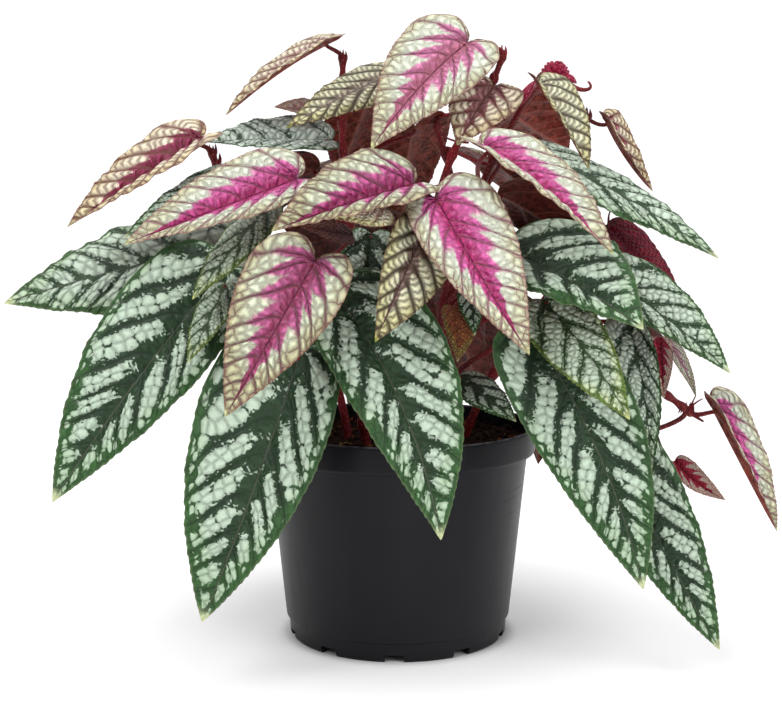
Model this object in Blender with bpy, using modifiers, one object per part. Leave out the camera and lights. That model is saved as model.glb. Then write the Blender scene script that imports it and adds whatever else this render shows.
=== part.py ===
"""Potted rex begonia vine: a black nursery pot, its soil, nine leafy stems and their leaf blades.

Lengths in the tables below are millimetres in the frame of the object: the pot stands on z = 0
with its axis on the origin, +X is the viewer's right and -Y is the side that the viewer sees.
Meshes are written in metres.
"""
import math
import random
from typing import NamedTuple

import bmesh
import bpy
import numpy as np
from mathutils import Matrix, Vector

# Pot
POT_SIDES = 32
POT_HEIGHT = 92.6
RIM_RADIUS = 60.0
COLLAR_HEIGHT = 12.0
WALL = 1.5
LIP = 0.4                  # rounding of the lip and of the collar's edges
SHOULDER_INSET = 3.4       # how far the wall stands in from the rim, just under the collar
FOOT_RADIUS = 47.6
FOOT_HEIGHT = 8.0          # the straight foot, under the tapering wall
FOOT_STEP = 1.6            # how far the wall stands out over the foot
FOOT_RING = 3.4            # thickness of the ring that the pot stands on
FILLET = 1.2               # rounding inside and under the foot
FLOOR_UNDERSIDE = 4.0
FLOOR_TOP = 5.4
NOTCHES = 10
NOTCH_WIDTH = 8.0
NOTCH_HEIGHT = 3.2
NOTCH_DEPTH = 12.0
NOTCH_TURN = -2.0
DRAIN_HOLES = 5
DRAIN_RADIUS = 4.0
DRAIN_CIRCLE = 28.0
DRAIN_SIDES = 10
PAD_RADIUS = 14.0

# Soil
SOIL_TOP = 85.6
SOIL_SIDES = 20
SOIL_GAP = 0.55
STEM_HOLE_RADIUS = 3.0
STEM_HOLE_BOTTOM = 71.4
STEM_HOLE_SIDES = 12

# Stems and stalks
ROOT_DEPTH = 72.0
SOIL_EXIT = 90.0
STEM_TOP_RADIUS = 1.2
STEM_RINGS = 10
STEM_ROUNDNESS = 1
STALK_RINGS = 5
STALK_ROUNDNESS = 0
STALK_RADIUS = (1.15, 0.9)
STALK_ROOT = 2.5           # how far a stalk starts inside its stem
STALK_ROOT_RADIUS = 0.75
STALK_CLEARANCE = 0.5

# Leaf blades
BLADE = 0.7
ARCH = 0.05
CUP = 0.12
WAVE = 0.03
STALK_FOOT = 0.03   # share of the length, from the junction, at which the stalk meets the blade
VEIN_CURVE = 1.4


class Leaf(NamedTuple):
    """One blade: where its stalk meets it, its tip, and the direction that its upper face looks in."""
    name: str
    junction: tuple
    tip: tuple
    azimuth: float   # of the upper face, degrees, 0 is towards the viewer and 90 towards +X
    elevation: float
    width: float
    fold: float      # degrees that each half is raised from flat, negative droops
    sweep: float     # sideways bow of the midrib, in leaf lengths
    skew: float      # share by which one half is wider than the other
    stem: int
    share: float     # how far up its stem the stalk leaves


YOUNG = (
    Leaf("young_leaf_01", (29, -8, 255), (-11, -46, 210), 10, 30, 39, 12, 0.02, 0.12, 3, 1.0),
    Leaf("young_leaf_02", (-30, 14, 257), (-73, -6, 225), -60, 50, 29, 20, -.08, 0.2, 2, 1.0),
    Leaf("young_leaf_03", (-84, -10, 215), (-134, -38, 179), -32, 48, 35, 20, -.09, 0.2, 1, 1.0),
    Leaf("young_leaf_04", (-41, -50, 198), (-102, -88, 174), 10, 45, 32, 18, -0.04, 0.2, 1, 0.45),
    Leaf("young_leaf_05", (5, -48, 196), (-47, -92, 179), 14, 56, 39, 22, -0.04, 0.2, 3, 0.5),
    Leaf("young_leaf_06", (15, -58, 190), (47, -106, 135), -6, 38, 37, 12, 0.02, -0.2, 6, 1.0),
    Leaf("young_leaf_07", (34, -48, 210), (80, -84, 170), 40, 50, 36, 26, 0.03, -0.2, 4, 0.55),
    Leaf("young_leaf_08", (-32, -78, 167), (-62, -116, 114), 8, 32, 40, 12, -0.01, 0.12, 5, 1.0),
    Leaf("young_leaf_09", (-1, 8, 244), (-46, -26, 219), 6, 44, 26, -10, -0.02, 0.2, 2, 0.85),
    Leaf("young_leaf_10", (40, -6, 237), (24, -28, 212), -5, 30, 31, 12, 0.0, 0.0, 3, 0.75),
    Leaf("young_leaf_11", (58, -18, 237), (76, -42, 202), 46, 36, 24, 34, 0.06, -.3, 4, 0.85),
    Leaf("young_leaf_12", (90, 8, 223), (110, 2, 193), 46, 32, 20, 46, .18, 0.1, 4, 0.8),
    Leaf("young_leaf_13", (-6, -60, 187), (-34, -81, 186), 26, 54, 20, -10, -0.04, 0.1, 6, 0.92),
    Leaf("young_leaf_14", (11, -57, 180), (-9, -91, 138), 25, 28, 29, 14, 0.01, -0.15, 6, 0.85),
    Leaf("young_leaf_15", (131.2, -28, 103.4), (155, -46, 55), 50, 27, 27, 46, .1, -0.1, 7, 1.0),
    Leaf("young_leaf_16", (-41, 32, 202), (-87, 68, 160), -128, 52, 38, 14, 0.02, 0.05, 9, 0.9),
    Leaf("young_leaf_17", (8, 36, 222), (4, 86, 172), -166, 42, 40, 14, -0.03, -0.05, 9, 1.0),
    Leaf("young_leaf_18", (47.5, 20, 229.5), (80, 54, 212), 156, 50, 50, 14, -.08, 0.05, 8, 1.0),
    Leaf("young_leaf_19", (42, 28, 207), (90, 60, 162), 124, 46, 54, 14, -0.02, -0.05, 8, 0.9),
    Leaf("young_leaf_20", (-11, 26, 238), (-29, 66, 198), -156, 45, 38, 14, 0.02, 0.05, 2, 0.9),
)

MATURE = (
    Leaf("mature_leaf_01", (-65, -8, 172), (-164, -26, 147), -4, 43, 57, -6, -0.02, 0.12, 1, 0.3),
    Leaf("mature_leaf_02", (-70, -42, 162), (-135, -72, 73), -6, 21, 50, 10, 0.0, 0.14, 5, 0.5),
    Leaf("mature_leaf_03", (-38, -64, 132), (-76, -82, 28), -7, 12, 54, 10, -0.02, 0.2, 5, 0.3),
    Leaf("mature_leaf_04", (-25, -62, 155), (16, -88, 62), 12, 20, 48, 10, -0.05, -0.18, 5, 0.65),
    Leaf("mature_leaf_05", (52, -60, 139), (94.6, -80, 40.5), 1, 12, 45, 10, -0.04, 0.0, 6, 0.3),
    Leaf("mature_leaf_06", (94.3, -34, 141), (101.5, -54, 82), 10, 19, 22, 12, -0.01, 0.25, 7, 0.55),
    Leaf("mature_leaf_07", (88, -38, 92), (130, -58, 9), 16, 20, 36, 12, 0.04, -0.12, 7, 0.97),
    Leaf("mature_leaf_08", (43, -44, 170), (90, -94, 143), -8, 54, 48, 15, 0.0, -0.2, 6, 0.6),
    Leaf("mature_leaf_09", (81, -30, 161), (131, -58, 122), 7, 38, 28, 12, 0.0, -0.25, 7, 0.45),
    Leaf("mature_leaf_10", (57, -58, 151), (85, -98, 110), -20, 34, 27, 12, -0.02, 0.12, 6, 0.45),
    Leaf("mature_leaf_11", (46.5, -6, 213), (131, -34, 166), 24, 45, 38, -12, 0.0, -.35, 4, 0.45),
    Leaf("mature_leaf_12", (-29, 6, 215), (-82, -6, 214), 14, 58, 30, 12, -0.05, 0.2, 2, 0.5),
    Leaf("mature_leaf_13", (-67, -12, 201), (-109, -50, 175), -11, 52, 20, 14, -0.05, 0.2, 1, 0.8),
    Leaf("mature_leaf_14", (-51, -50, 188), (-78, -80, 153), -22, 44, 22, -8, -0.04, 0.2, 5, 0.9),
    Leaf("mature_leaf_15", (-68, -56, 157), (-80, -80, 129), -22, 41, 17, -8, -0.04, 0.2, 5, 0.75),
    Leaf("mature_leaf_16", (-11, -38, 176), (-14, -60, 134), 4, 24, 24, 14, 0.0, 0.0, 5, 0.7),
    Leaf("mature_leaf_17", (25, -38, 118), (46, -66, 104), -15, 56, 17, -8, 0.03, -0.2, 6, 0.25),
    Leaf("mature_leaf_18", (-53, 33, 166), (-126, 78, 112), -122, 48, 48, 10, 0.02, 0.05, 9, 0.55),
    Leaf("mature_leaf_19", (-34, 50, 156), (-69, 103, 66), -146, 28, 52, 10, -0.03, -0.08, 9, 0.45),
    Leaf("mature_leaf_20", (-6, 62, 146), (-11, 103, 38), -174, 18, 50, 10, 0.03, 0.06, 8, 0.3),
    Leaf("mature_leaf_21", (21, 56, 162), (44, 122, 82), 160, 32, 52, 10, -0.02, -0.06, 8, 0.45),
    Leaf("mature_leaf_22", (44, 44, 146), (70, 79, 58), 135, 20, 50, 10, 0.03, 0.08, 8, 0.35),
    Leaf("mature_leaf_23", (57, 25, 172), (130, 58, 116), 114, 46, 46, 10, -0.03, -0.05, 8, 0.6),
    Leaf("mature_leaf_24", (-44, 14, 150), (-116, 30, 102), -120, 30, 42, 10, 0.03, 0.06, 9, 0.35),
    Leaf("mature_leaf_25", (66, 7, 146), (117, 12, 62), 96, 24, 44, 10, -0.03, -0.06, 8, 0.4),
    Leaf("mature_leaf_26", (-16, 50, 185), (-57, 109, 110), 176, 36, 58, 12, 0.02, 0.05, 8, 0.75),
    Leaf("mature_leaf_27", (44, 15, 192), (96, 40, 153), 140, 44, 46, 12, 0.02, 0.05, 4, 0.35),
    Leaf("mature_leaf_28", (-35, 18, 203), (-104, 44, 160), -145, 44, 42, 12, -0.02, -0.05, 2, 0.45),
)

# Small young leaves, which are fused into the stem that they grow from
LEAFLETS = (
    Leaf("leaflet_a", (21, -50, 148), (23, -62, 127), 24, 30, 15, 14, -0.02, -0.2, 6, 0.35),
    Leaf("leaflet_b", (108.5, -28, 133), (109, -38, 109), -13, 21, 12, 20, 0.0, 0.1, 7, 0.7),
    Leaf("leaflet_c", (111, -24, 133), (124, -30, 108), 31, 24, 10, 30, 0.0, 0.15, 7, 0.72),
    Leaf("leaflet_d", (116, -28, 81), (136, -36, 66), 9, 35, 12, 20, .1, -0.05, 7, 0.75),
    Leaf("leaflet_e", (-35, 10, 228), (-53, 0, 229), 32, 45, 11, 20, -0.08, 0.2, 2, 0.82),
    Leaf("leaflet_f", (-18, -56, 176), (-38, -66, 180), 38, 42, 12, 15, -0.05, -0.1, 5, 0.97),
    Leaf("leaflet_g", (89, -6, 179), (120.5, -14, 147), 26, 32, 19, 12, 0.05, -0.3, 7, 0.35),
    Leaf("leaflet_h", (29, -44, 156), (30, -58, 137), -8, 36, 12, 14, 0.0, 0.0, 6, 0.55),
)

# Where each stem leaves the soil, its radius there, and the points that it bends through above
STEMS = {
    1: ((-22, -4), 2.0, ((-34, -6, 135), (-56, -4, 170), (-74, -3, 190), (-79, -5, 209))),
    2: ((-12, 14), 2.0, ((-18, 14, 150), (-24, 14, 210), (-24, 14, 250))),
    3: ((4, 4), 2.1, ((8, 3, 150), (22, 3, 205), (38, 2, 234), (44.5, 2, 250))),
    4: ((16, 10), 2.1, ((24, 8, 150), (36, 4, 195), (58, 3, 237), (69, -1, 247))),
    5: ((-14, -22), 2.1, ((-20, -32, 120), (-28, -42, 148), (-32, -60, 164))),
    6: ((12, -20), 2.1, ((16, -28, 130), (20, -38, 165), (14, -46, 182))),
    7: ((30, -6), 2.0, ((50, -10, 128), (76, -16, 137), (100, -24, 118), (122, -28, 101.5))),
    8: ((18, 26), 2.1, ((26, 34, 140), (26, 38, 190), (18, 38, 222))),
    9: ((-14, 28), 2.1, ((-22, 34, 140), (-24, 36, 180), (-16, 38, 206))),
}

# Half outlines as two Bezier arcs, from the junction round to the tip: across in half widths,
# along in lengths
OUTLINES = {
    "young": (((0.0, 0.0), (0.08, -0.17), (1.0, -0.20), (1.0, 0.17)),
              ((1.0, 0.17), (1.0, 0.50), (0.42, 0.80), (0.0, 1.0))),
    "mature": (((0.0, 0.0), (0.22, -0.085), (0.98, -0.10), (1.0, 0.24)),
               ((1.0, 0.24), (1.02, 0.56), (0.44, 0.82), (0.0, 1.0))),
    "leaflet": (((0.0, 0.0), (0.45, -0.03), (0.95, 0.02), (1.0, 0.27)),
                ((1.0, 0.27), (1.0, 0.55), (0.42, 0.80), (0.0, 1.0))),
}

LOBE_ROWS = 2
WIDE_LEAF = 34.5          # blades wider than this get the finer grid
WIDE_GRID = (7, 6)        # rows from the lobes to the tip, columns across
NARROW_GRID = (5, 4)
LEAFLET_GRID = (3, 4)

MM = 0.001
WELD = 0.000002
COLOURS = {
    "pot": ((0.012, 0.012, 0.013), 0.42),
    "soil": ((0.035, 0.022, 0.014), 0.95),
    "stem": ((0.17, 0.02, 0.028), 0.45),
    "young": ((0.52, 0.22, 0.27), 0.38),
    "mature": ((0.13, 0.24, 0.13), 0.40),
}


def clear_scene():
    """Removes the objects of the startup file."""
    for obj in list(bpy.data.objects):
        bpy.data.objects.remove(obj, do_unlink=True)


def new_collection(name, parent, cutters=False):
    """A collection under parent, hidden from renders where it holds cutters."""
    collection = bpy.data.collections.new(name)
    collection.hide_render = cutters
    parent.children.link(collection)
    return collection


def new_material(name, kind, draw):
    """A material of its own for one object, its colour shifted a little by a seeded draw."""
    colour, roughness = COLOURS[kind]
    shift = draw.uniform(0.85, 1.15)
    material = bpy.data.materials.new(name)
    material.use_nodes = True
    surface = material.node_tree.nodes["Principled BSDF"]
    surface.inputs["Base Color"].default_value = (*(channel * shift for channel in colour), 1.0)
    surface.inputs["Roughness"].default_value = roughness
    surface.inputs["Metallic"].default_value = 0.0
    return material


def weld(mesh):
    """Makes one vertex of each pair that lies in the same place, as where a tube's caps meet its side."""
    work = bmesh.new()
    work.from_mesh(mesh)
    bmesh.ops.remove_doubles(work, verts=work.verts, dist=WELD)
    work.to_mesh(mesh)
    work.free()


def replace_by_mesh(obj, collection, welded=False):
    """A mesh object in place of obj, with its modifiers applied."""
    name = obj.name
    graph = bpy.context.evaluated_depsgraph_get()
    mesh = bpy.data.meshes.new_from_object(obj.evaluated_get(graph))
    if welded:
        weld(mesh)
    bpy.data.objects.remove(obj, do_unlink=True)
    made = bpy.data.objects.new(name, mesh)
    collection.objects.link(made)
    return made


def turned(name, profile, collection, sides):
    """A solid turned about Z from (radius, height) points, which run down its outer side."""
    mesh = bpy.data.meshes.new(name)
    points = [(radius * MM, 0.0, height * MM) for radius, height in profile]
    mesh.from_pydata(points, [(i, i + 1) for i in range(len(points) - 1)], [])
    obj = bpy.data.objects.new(name, mesh)
    collection.objects.link(obj)
    screw = obj.modifiers.new("Turn", "SCREW")
    screw.steps = screw.render_steps = sides
    screw.use_merge_vertices = True
    screw.merge_threshold = 0.00001
    screw.use_smooth_shade = True
    return obj


def cut(obj, cutters, collection):
    """Takes the cutters' shapes from obj and returns the cut mesh object."""
    boolean = obj.modifiers.new("Cut", "BOOLEAN")
    boolean.operation = "DIFFERENCE"
    boolean.operand_type = "COLLECTION"
    boolean.collection = cutters
    return replace_by_mesh(obj, collection)


def add_cutter(bm, name, cutters):
    """Puts a bmesh into the cutters' collection as a wire shape that no render shows."""
    mesh = bpy.data.meshes.new(name)
    bm.to_mesh(mesh)
    bm.free()
    obj = bpy.data.objects.new(name, mesh)
    obj.display_type = "WIRE"
    obj.hide_render = True
    cutters.objects.link(obj)
    return obj


def upright_cylinder(radius, bottom, top, sides, x=0.0, y=0.0):
    """A bmesh cylinder about a vertical axis at (x, y)."""
    bm = bmesh.new()
    place = Matrix.Translation((x * MM, y * MM, (bottom + top) / 2 * MM))
    bmesh.ops.create_cone(bm, cap_ends=True, segments=sides, radius1=radius * MM, radius2=radius * MM,
                          depth=(top - bottom) * MM, matrix=place)
    return bm


def pot_profile():
    """(radius, height) points, from the middle of the floor over the lip to the middle of the base."""
    collar = POT_HEIGHT - COLLAR_HEIGHT
    inner_rim = RIM_RADIUS - WALL
    shoulder = RIM_RADIUS - SHOULDER_INSET
    wall_foot = FOOT_RADIUS + FOOT_STEP
    ring_inside = FOOT_RADIUS - FOOT_RING
    inside = [(0.0, FLOOR_TOP), (FOOT_RADIUS - WALL, FLOOR_TOP), (FOOT_RADIUS - FILLET, FOOT_HEIGHT),
              (wall_foot - WALL, FOOT_HEIGHT + WALL), (shoulder - WALL, collar - 2 * LIP),
              (inner_rim - LIP, collar + WALL), (inner_rim, collar + 2 * WALL),
              (inner_rim, POT_HEIGHT - WALL)]
    lip = [(inner_rim + LIP, POT_HEIGHT - LIP / 2), (RIM_RADIUS - LIP, POT_HEIGHT),
           (RIM_RADIUS, POT_HEIGHT - FILLET)]
    outside = [(RIM_RADIUS, collar + WALL), (RIM_RADIUS - LIP, collar + LIP), (RIM_RADIUS - WALL, collar),
               (shoulder, collar - LIP / 2), (wall_foot, FOOT_HEIGHT + 2 * LIP),
               (wall_foot - FILLET, FOOT_HEIGHT), (FOOT_RADIUS, FILLET), (FOOT_RADIUS - 2 * LIP, 0.0)]
    foot = [(ring_inside, 0.0), (ring_inside, FLOOR_UNDERSIDE), (PAD_RADIUS, FLOOR_UNDERSIDE),
            (PAD_RADIUS, 0.0), (0.0, 0.0)]
    return inside + lip + outside + foot


def make_pot(collection, cutters):
    """The pot, with drain notches through its foot ring and drain holes through its floor."""
    for number in range(NOTCHES):
        bm = bmesh.new()
        bmesh.ops.create_cube(bm, size=1.0)
        bmesh.ops.scale(bm, vec=(NOTCH_WIDTH * MM, NOTCH_DEPTH * MM, 2 * NOTCH_HEIGHT * MM), verts=bm.verts)
        bmesh.ops.translate(bm, vec=(0.0, -FOOT_RADIUS * MM, 0.0), verts=bm.verts)
        turn = math.radians(NOTCH_TURN + 360 / NOTCHES * number)
        bmesh.ops.rotate(bm, matrix=Matrix.Rotation(turn, 3, "Z"), verts=bm.verts)
        add_cutter(bm, f"notch_{number}", cutters)
    for number in range(DRAIN_HOLES):
        turn = math.radians(NOTCH_TURN + 360 / DRAIN_HOLES * number)
        bm = upright_cylinder(DRAIN_RADIUS, FLOOR_UNDERSIDE - 1, FLOOR_TOP + 1, DRAIN_SIDES,
                              DRAIN_CIRCLE * math.sin(turn), -DRAIN_CIRCLE * math.cos(turn))
        add_cutter(bm, f"drain_{number}", cutters)
    pot = cut(turned("pot", pot_profile(), collection, POT_SIDES), cutters, collection)
    pot.data.shade_smooth()
    pot.data.set_sharp_from_angle(angle=math.radians(35))
    return pot


def soil_profile():
    """(radius, height) points of the soil, which fills the pot with a narrow gap to its wall."""
    collar = POT_HEIGHT - COLLAR_HEIGHT
    gap = WALL + SOIL_GAP
    rim = RIM_RADIUS - gap - LIP
    bottom = FLOOR_TOP + SOIL_GAP
    top = [(share * rim, SOIL_TOP) for share in (0.0, 0.24, 0.48, 0.68, 0.86)]
    side = [(rim, SOIL_TOP - 2 * LIP), (rim, collar + 2 * WALL), (rim - LIP, collar + WALL),
            (RIM_RADIUS - SHOULDER_INSET - gap, collar - 2 * LIP),
            (FOOT_RADIUS + FOOT_STEP - gap, FOOT_HEIGHT + WALL + LIP), (FOOT_RADIUS - gap, FOOT_HEIGHT),
            (FOOT_RADIUS - gap - LIP, bottom)]
    return top + side + [(0.0, bottom)]


def soil_rise(x, y):
    """Height of the lumps in the soil's top at a place on it."""
    return 0.9 * math.sin(0.21 * x + 0.8) * math.cos(0.19 * y - 0.4) + 0.5 * math.sin(0.43 * x - 0.31 * y)


def make_soil(collection, cutters):
    """The soil plug: its top rises and falls a little, and each stem stands in a plain hole."""
    soil = replace_by_mesh(turned("soil", soil_profile(), collection, SOIL_SIDES), collection)
    for vertex in soil.data.vertices:
        x, y, z = (value / MM for value in vertex.co)
        if z > SOIL_TOP - LIP:
            vertex.co.z += soil_rise(x, y) * MM
    for number, (place, _, _) in STEMS.items():
        bm = upright_cylinder(STEM_HOLE_RADIUS, STEM_HOLE_BOTTOM, SOIL_EXIT, STEM_HOLE_SIDES, *place)
        add_cutter(bm, f"hole_{number}", cutters)
    soil = cut(soil, cutters, collection)
    soil.data.shade_flat()
    return soil


def unit(vector):
    """The vector, or each row of vectors, at length one."""
    vector = np.asarray(vector, float)
    return vector / np.linalg.norm(vector, axis=-1, keepdims=True)


def bezier(points, share):
    """The point of a cubic Bezier arc at a share of its parameter."""
    a, b, c, d = (np.array(point, float) for point in points)
    rest = 1 - share
    return rest**3 * a + 3 * rest**2 * share * b + 3 * rest * share**2 * c + share**3 * d


def spline_through(points, shares):
    """Points of a Catmull-Rom spline through the given points, at shares from 0 to 1 of its parameter."""
    known = np.array(points, float)
    known = np.concatenate([[2 * known[0] - known[1]], known, [2 * known[-1] - known[-2]]])
    spans = len(known) - 3
    place = np.clip(np.asarray(shares, float), 0, 1) * spans
    first = np.minimum(place.astype(int), spans - 1)
    t = (place - first)[:, None]
    a, b, c, d = known[first], known[first + 1], known[first + 2], known[first + 3]
    square = (2 * a - 5 * b + 4 * c - d) * t**2
    return 0.5 * (2 * b + (c - a) * t + square + (3 * b - a - 3 * c + d) * t**3)


class Midrib:
    """The curved middle of a blade: where it runs, and the directions up and sideways from it."""

    def __init__(self, leaf):
        """Works out the blade's frame from its junction, its tip and the way that its upper face looks."""
        azimuth, elevation = math.radians(leaf.azimuth), math.radians(leaf.elevation)
        face = np.array((math.sin(azimuth) * math.cos(elevation), -math.cos(azimuth) * math.cos(elevation),
                         math.sin(elevation)))
        self.leaf = leaf
        self.start, self.end = np.array(leaf.junction, float), np.array(leaf.tip, float)
        self.length = np.linalg.norm(self.end - self.start)
        chord = (self.end - self.start) / self.length
        self.up = unit(face - face.dot(chord) * chord)
        self.side = np.cross(chord, self.up)
        self.middle = (self.start + self.end) / 2 + self.up * (2 * ARCH * self.length)

    def at(self, share):
        """The point and the direction of the midrib at a share of its length, straight on below 0."""
        inside = min(max(share, 0.0), 1.0)
        rest = 1 - inside
        point = rest**2 * self.start + 2 * rest * inside * self.middle + inside**2 * self.end
        direction = unit(rest * (self.middle - self.start) + inside * (self.end - self.middle))
        point = point + min(share, 0.0) * self.length * direction
        bow = self.leaf.sweep * self.length * 4 * inside * rest
        return point + bow * self.side, direction

    def surface(self, across, share, wave):
        """A point of the blade: across in half widths, share of the length, and a wave in half widths."""
        point, direction = self.at(share)
        normal = unit(self.up - direction.dot(self.up) * direction)
        sideways = np.cross(direction, normal)
        half = self.leaf.width / 2
        out = across * half * (1 + self.leaf.skew * np.sign(across))
        fold = math.radians(self.leaf.fold)
        rise = abs(out) * math.sin(fold) - CUP * half * (abs(out) / half) ** 2 + wave * half
        return point + sideways * (out * math.cos(fold)) + normal * rise


def blade_point(midrib, kind, row, rows, v):
    """The point in a row of the grid, v from -1 at one margin to 1 at the other.

    The first rows fill the lobes behind the junction, and the others the blade up to its tip.
    """
    lobe, side = OUTLINES[kind]
    if row < LOBE_ROWS:
        edge = bezier(lobe, row / LOBE_ROWS)
        middle = 0.0
    else:
        edge = bezier(side, (row - LOBE_ROWS) / (rows - LOBE_ROWS))
        middle = edge[1] - edge[0] * side[0][1]
    along = middle + (edge[1] - middle) * abs(v) ** VEIN_CURVE
    wave = WAVE * v**2 * edge[0] * math.cos(math.pi * row)
    return midrib.surface(edge[0] * v, along, wave)


def blade_surface(name, leaf, kind, grid, collection):
    """A blade of triangles, heart-shaped at its junction and drawn out to a point at its tip."""
    midrib = Midrib(leaf)
    side_rows, columns = grid
    rows = LOBE_ROWS + side_rows
    bm = bmesh.new()
    bmesh.ops.create_grid(bm, x_segments=columns, y_segments=rows, size=1.0)
    left = [face for face in bm.faces if face.calc_center_median().x < 0]
    right = [face for face in bm.faces if face.calc_center_median().x > 0]
    for faces, swapped in ((left, True), (right, False)):
        split_quads(bm, faces, swapped)
    for vertex in bm.verts:
        row = round((vertex.co.y + 1) / 2 * rows)
        vertex.co = Vector(blade_point(midrib, kind, row, rows, vertex.co.x) * MM)
    bmesh.ops.remove_doubles(bm, verts=bm.verts, dist=WELD)
    bmesh.ops.recalc_face_normals(bm, faces=bm.faces)
    if sum((Vector(midrib.up).dot(face.normal) for face in bm.faces)) < 0:
        bmesh.ops.reverse_faces(bm, faces=bm.faces)
    mesh = bpy.data.meshes.new(name)
    bm.to_mesh(mesh)
    bm.free()
    obj = bpy.data.objects.new(name, mesh)
    collection.objects.link(obj)
    solidify = obj.modifiers.new("Thickness", "SOLIDIFY")
    solidify.thickness = BLADE * MM
    solidify.offset = 0.0
    return obj


def split_quads(bm, faces, swapped):
    """Splits each quad of a flat grid along one diagonal, or along the other one where swapped."""
    for face in faces:
        corners = sorted(face.verts, key=lambda vertex: (vertex.co.y, vertex.co.x))
        near = 1 if swapped else 0
        bmesh.utils.face_split(face, corners[near], corners[3 - near])


def make_leaves(leaves, kind, collection, draw):
    """One solid for each leaf blade."""
    for leaf in leaves:
        grid = WIDE_GRID if leaf.width > WIDE_LEAF else NARROW_GRID
        obj = blade_surface(leaf.name, leaf, kind, grid, collection)
        obj.data.materials.append(new_material(leaf.name, kind, draw))
        obj.data.shade_smooth()


def stem_points(number, shares):
    """Points along a stem at shares of its run, of which the first span stands upright in the soil."""
    (x, y), _, above = STEMS[number]
    return spline_through(((x, y, ROOT_DEPTH), (x, y, SOIL_EXIT)) + above, shares)


def stem_shares(number):
    """Where the rings of a stem lie: one at its root, then even steps from where it leaves the soil."""
    spans = len(STEMS[number][2]) + 1
    return [0.0] + list(np.linspace(1 / spans, 1, STEM_RINGS - 1))


def stalk_points(leaf, enters_blade):
    """Points of a leaf's stalk, which leaves its stem along it and bends up to the blade's underside."""
    start, before = stem_points(leaf.stem, (leaf.share, max(leaf.share - 0.02, 0)))
    lean = unit(start - before)
    midrib = Midrib(leaf)
    direction = midrib.at(0.0)[1]
    normal = unit(midrib.up - direction.dot(midrib.up) * direction)
    arrival = unit(0.55 * direction + 0.85 * normal)
    tilt = math.sqrt(1 - arrival.dot(normal) ** 2)
    foot = midrib.at(STALK_FOOT)[0]
    end = foot - normal * (BLADE / 2 + STALK_CLEARANCE + tilt)
    span = np.linalg.norm(end - start)
    arc = (start, start + lean * 0.35 * span, end - arrival * min(0.35 * span, 14.0), end)
    points = [start - lean * STALK_ROOT]
    points += [bezier(arc, share) for share in np.linspace(0, 1, STALK_RINGS)]
    if enters_blade:
        points.append(midrib.at(STALK_FOOT + 0.01)[0])
    return points


def tube(name, points, radii, collection, roundness):
    """A rounded bar along a line of points: 4 sides at roundness 0, and 2 more for each step."""
    curve = bpy.data.curves.new(name, "CURVE")
    curve.dimensions = "3D"
    curve.bevel_depth = MM
    curve.bevel_resolution = roundness
    curve.use_fill_caps = True
    line = curve.splines.new("POLY")
    line.points.add(len(points) - 1)
    for knot, point, radius in zip(line.points, points, radii):
        knot.co = (*(point * MM), 1.0)
        knot.radius = radius
    obj = bpy.data.objects.new(name, curve)
    collection.objects.link(obj)
    return replace_by_mesh(obj, collection, welded=True)


def make_stem(number, collection, draw):
    """A stem with its leaf stalks and its small leaflets, joined into one solid."""
    shares = stem_shares(number)
    radii = np.linspace(STEMS[number][1], STEM_TOP_RADIUS, len(shares))
    stem = tube(f"stem_{number}", stem_points(number, shares), radii, collection, STEM_ROUNDNESS)
    grown = new_collection(f"grown_on_stem_{number}", bpy.context.scene.collection, cutters=True)
    for leaf in YOUNG + MATURE + LEAFLETS:
        if leaf.stem != number:
            continue
        small = leaf in LEAFLETS
        points = stalk_points(leaf, enters_blade=small)
        radii = [STALK_ROOT_RADIUS] + list(np.linspace(*STALK_RADIUS, len(points) - 1))
        tube(f"{leaf.name}_stalk", points, radii, grown, STALK_ROUNDNESS)
        if small:
            replace_by_mesh(blade_surface(leaf.name, leaf, "leaflet", LEAFLET_GRID, grown), grown)
    union = stem.modifiers.new("Grown together", "BOOLEAN")
    union.operation = "UNION"
    union.operand_type = "COLLECTION"
    union.collection = grown
    union.solver = "MANIFOLD"
    stem = replace_by_mesh(stem, collection)
    for obj in list(grown.objects):
        bpy.data.objects.remove(obj, do_unlink=True)
    bpy.data.collections.remove(grown)
    stem.data.materials.append(new_material(stem.name, "stem", draw))
    stem.data.shade_smooth()
    stem.data.set_sharp_from_angle(angle=math.radians(60))


def main():
    """Builds the pot, the soil, the stems and the leaf blades."""
    clear_scene()
    scene = bpy.context.scene
    plant = new_collection("potted_rex_begonia_vine", scene.collection)
    draw = random.Random(7)
    pot = make_pot(plant, new_collection("pot_cutters", scene.collection, cutters=True))
    pot.data.materials.append(new_material("pot", "pot", draw))
    soil = make_soil(plant, new_collection("soil_cutters", scene.collection, cutters=True))
    soil.data.materials.append(new_material("soil", "soil", draw))
    for number in STEMS:
        make_stem(number, plant, draw)
    make_leaves(YOUNG, "young", plant, draw)
    make_leaves(MATURE, "mature", plant, draw)


if __name__ == "__main__":
    main()
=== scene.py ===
"""Looks of a potted rex begonia vine: leaves with silver or pink blocks, red stems, soil and a black pot.

Every length with the suffix _mm, and every point in the tables of leaves and stems, is in millimetres in the
frame of the object. The pot stands on z = 0 with its axis on the origin, +X is the viewer's right and -Y faces
the viewer.
"""
from __future__ import annotations

import logging
import math
from dataclasses import dataclass, field, replace
from enum import Enum

import bmesh
import bpy
import numpy as np
from mathutils import Matrix, Vector

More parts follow.
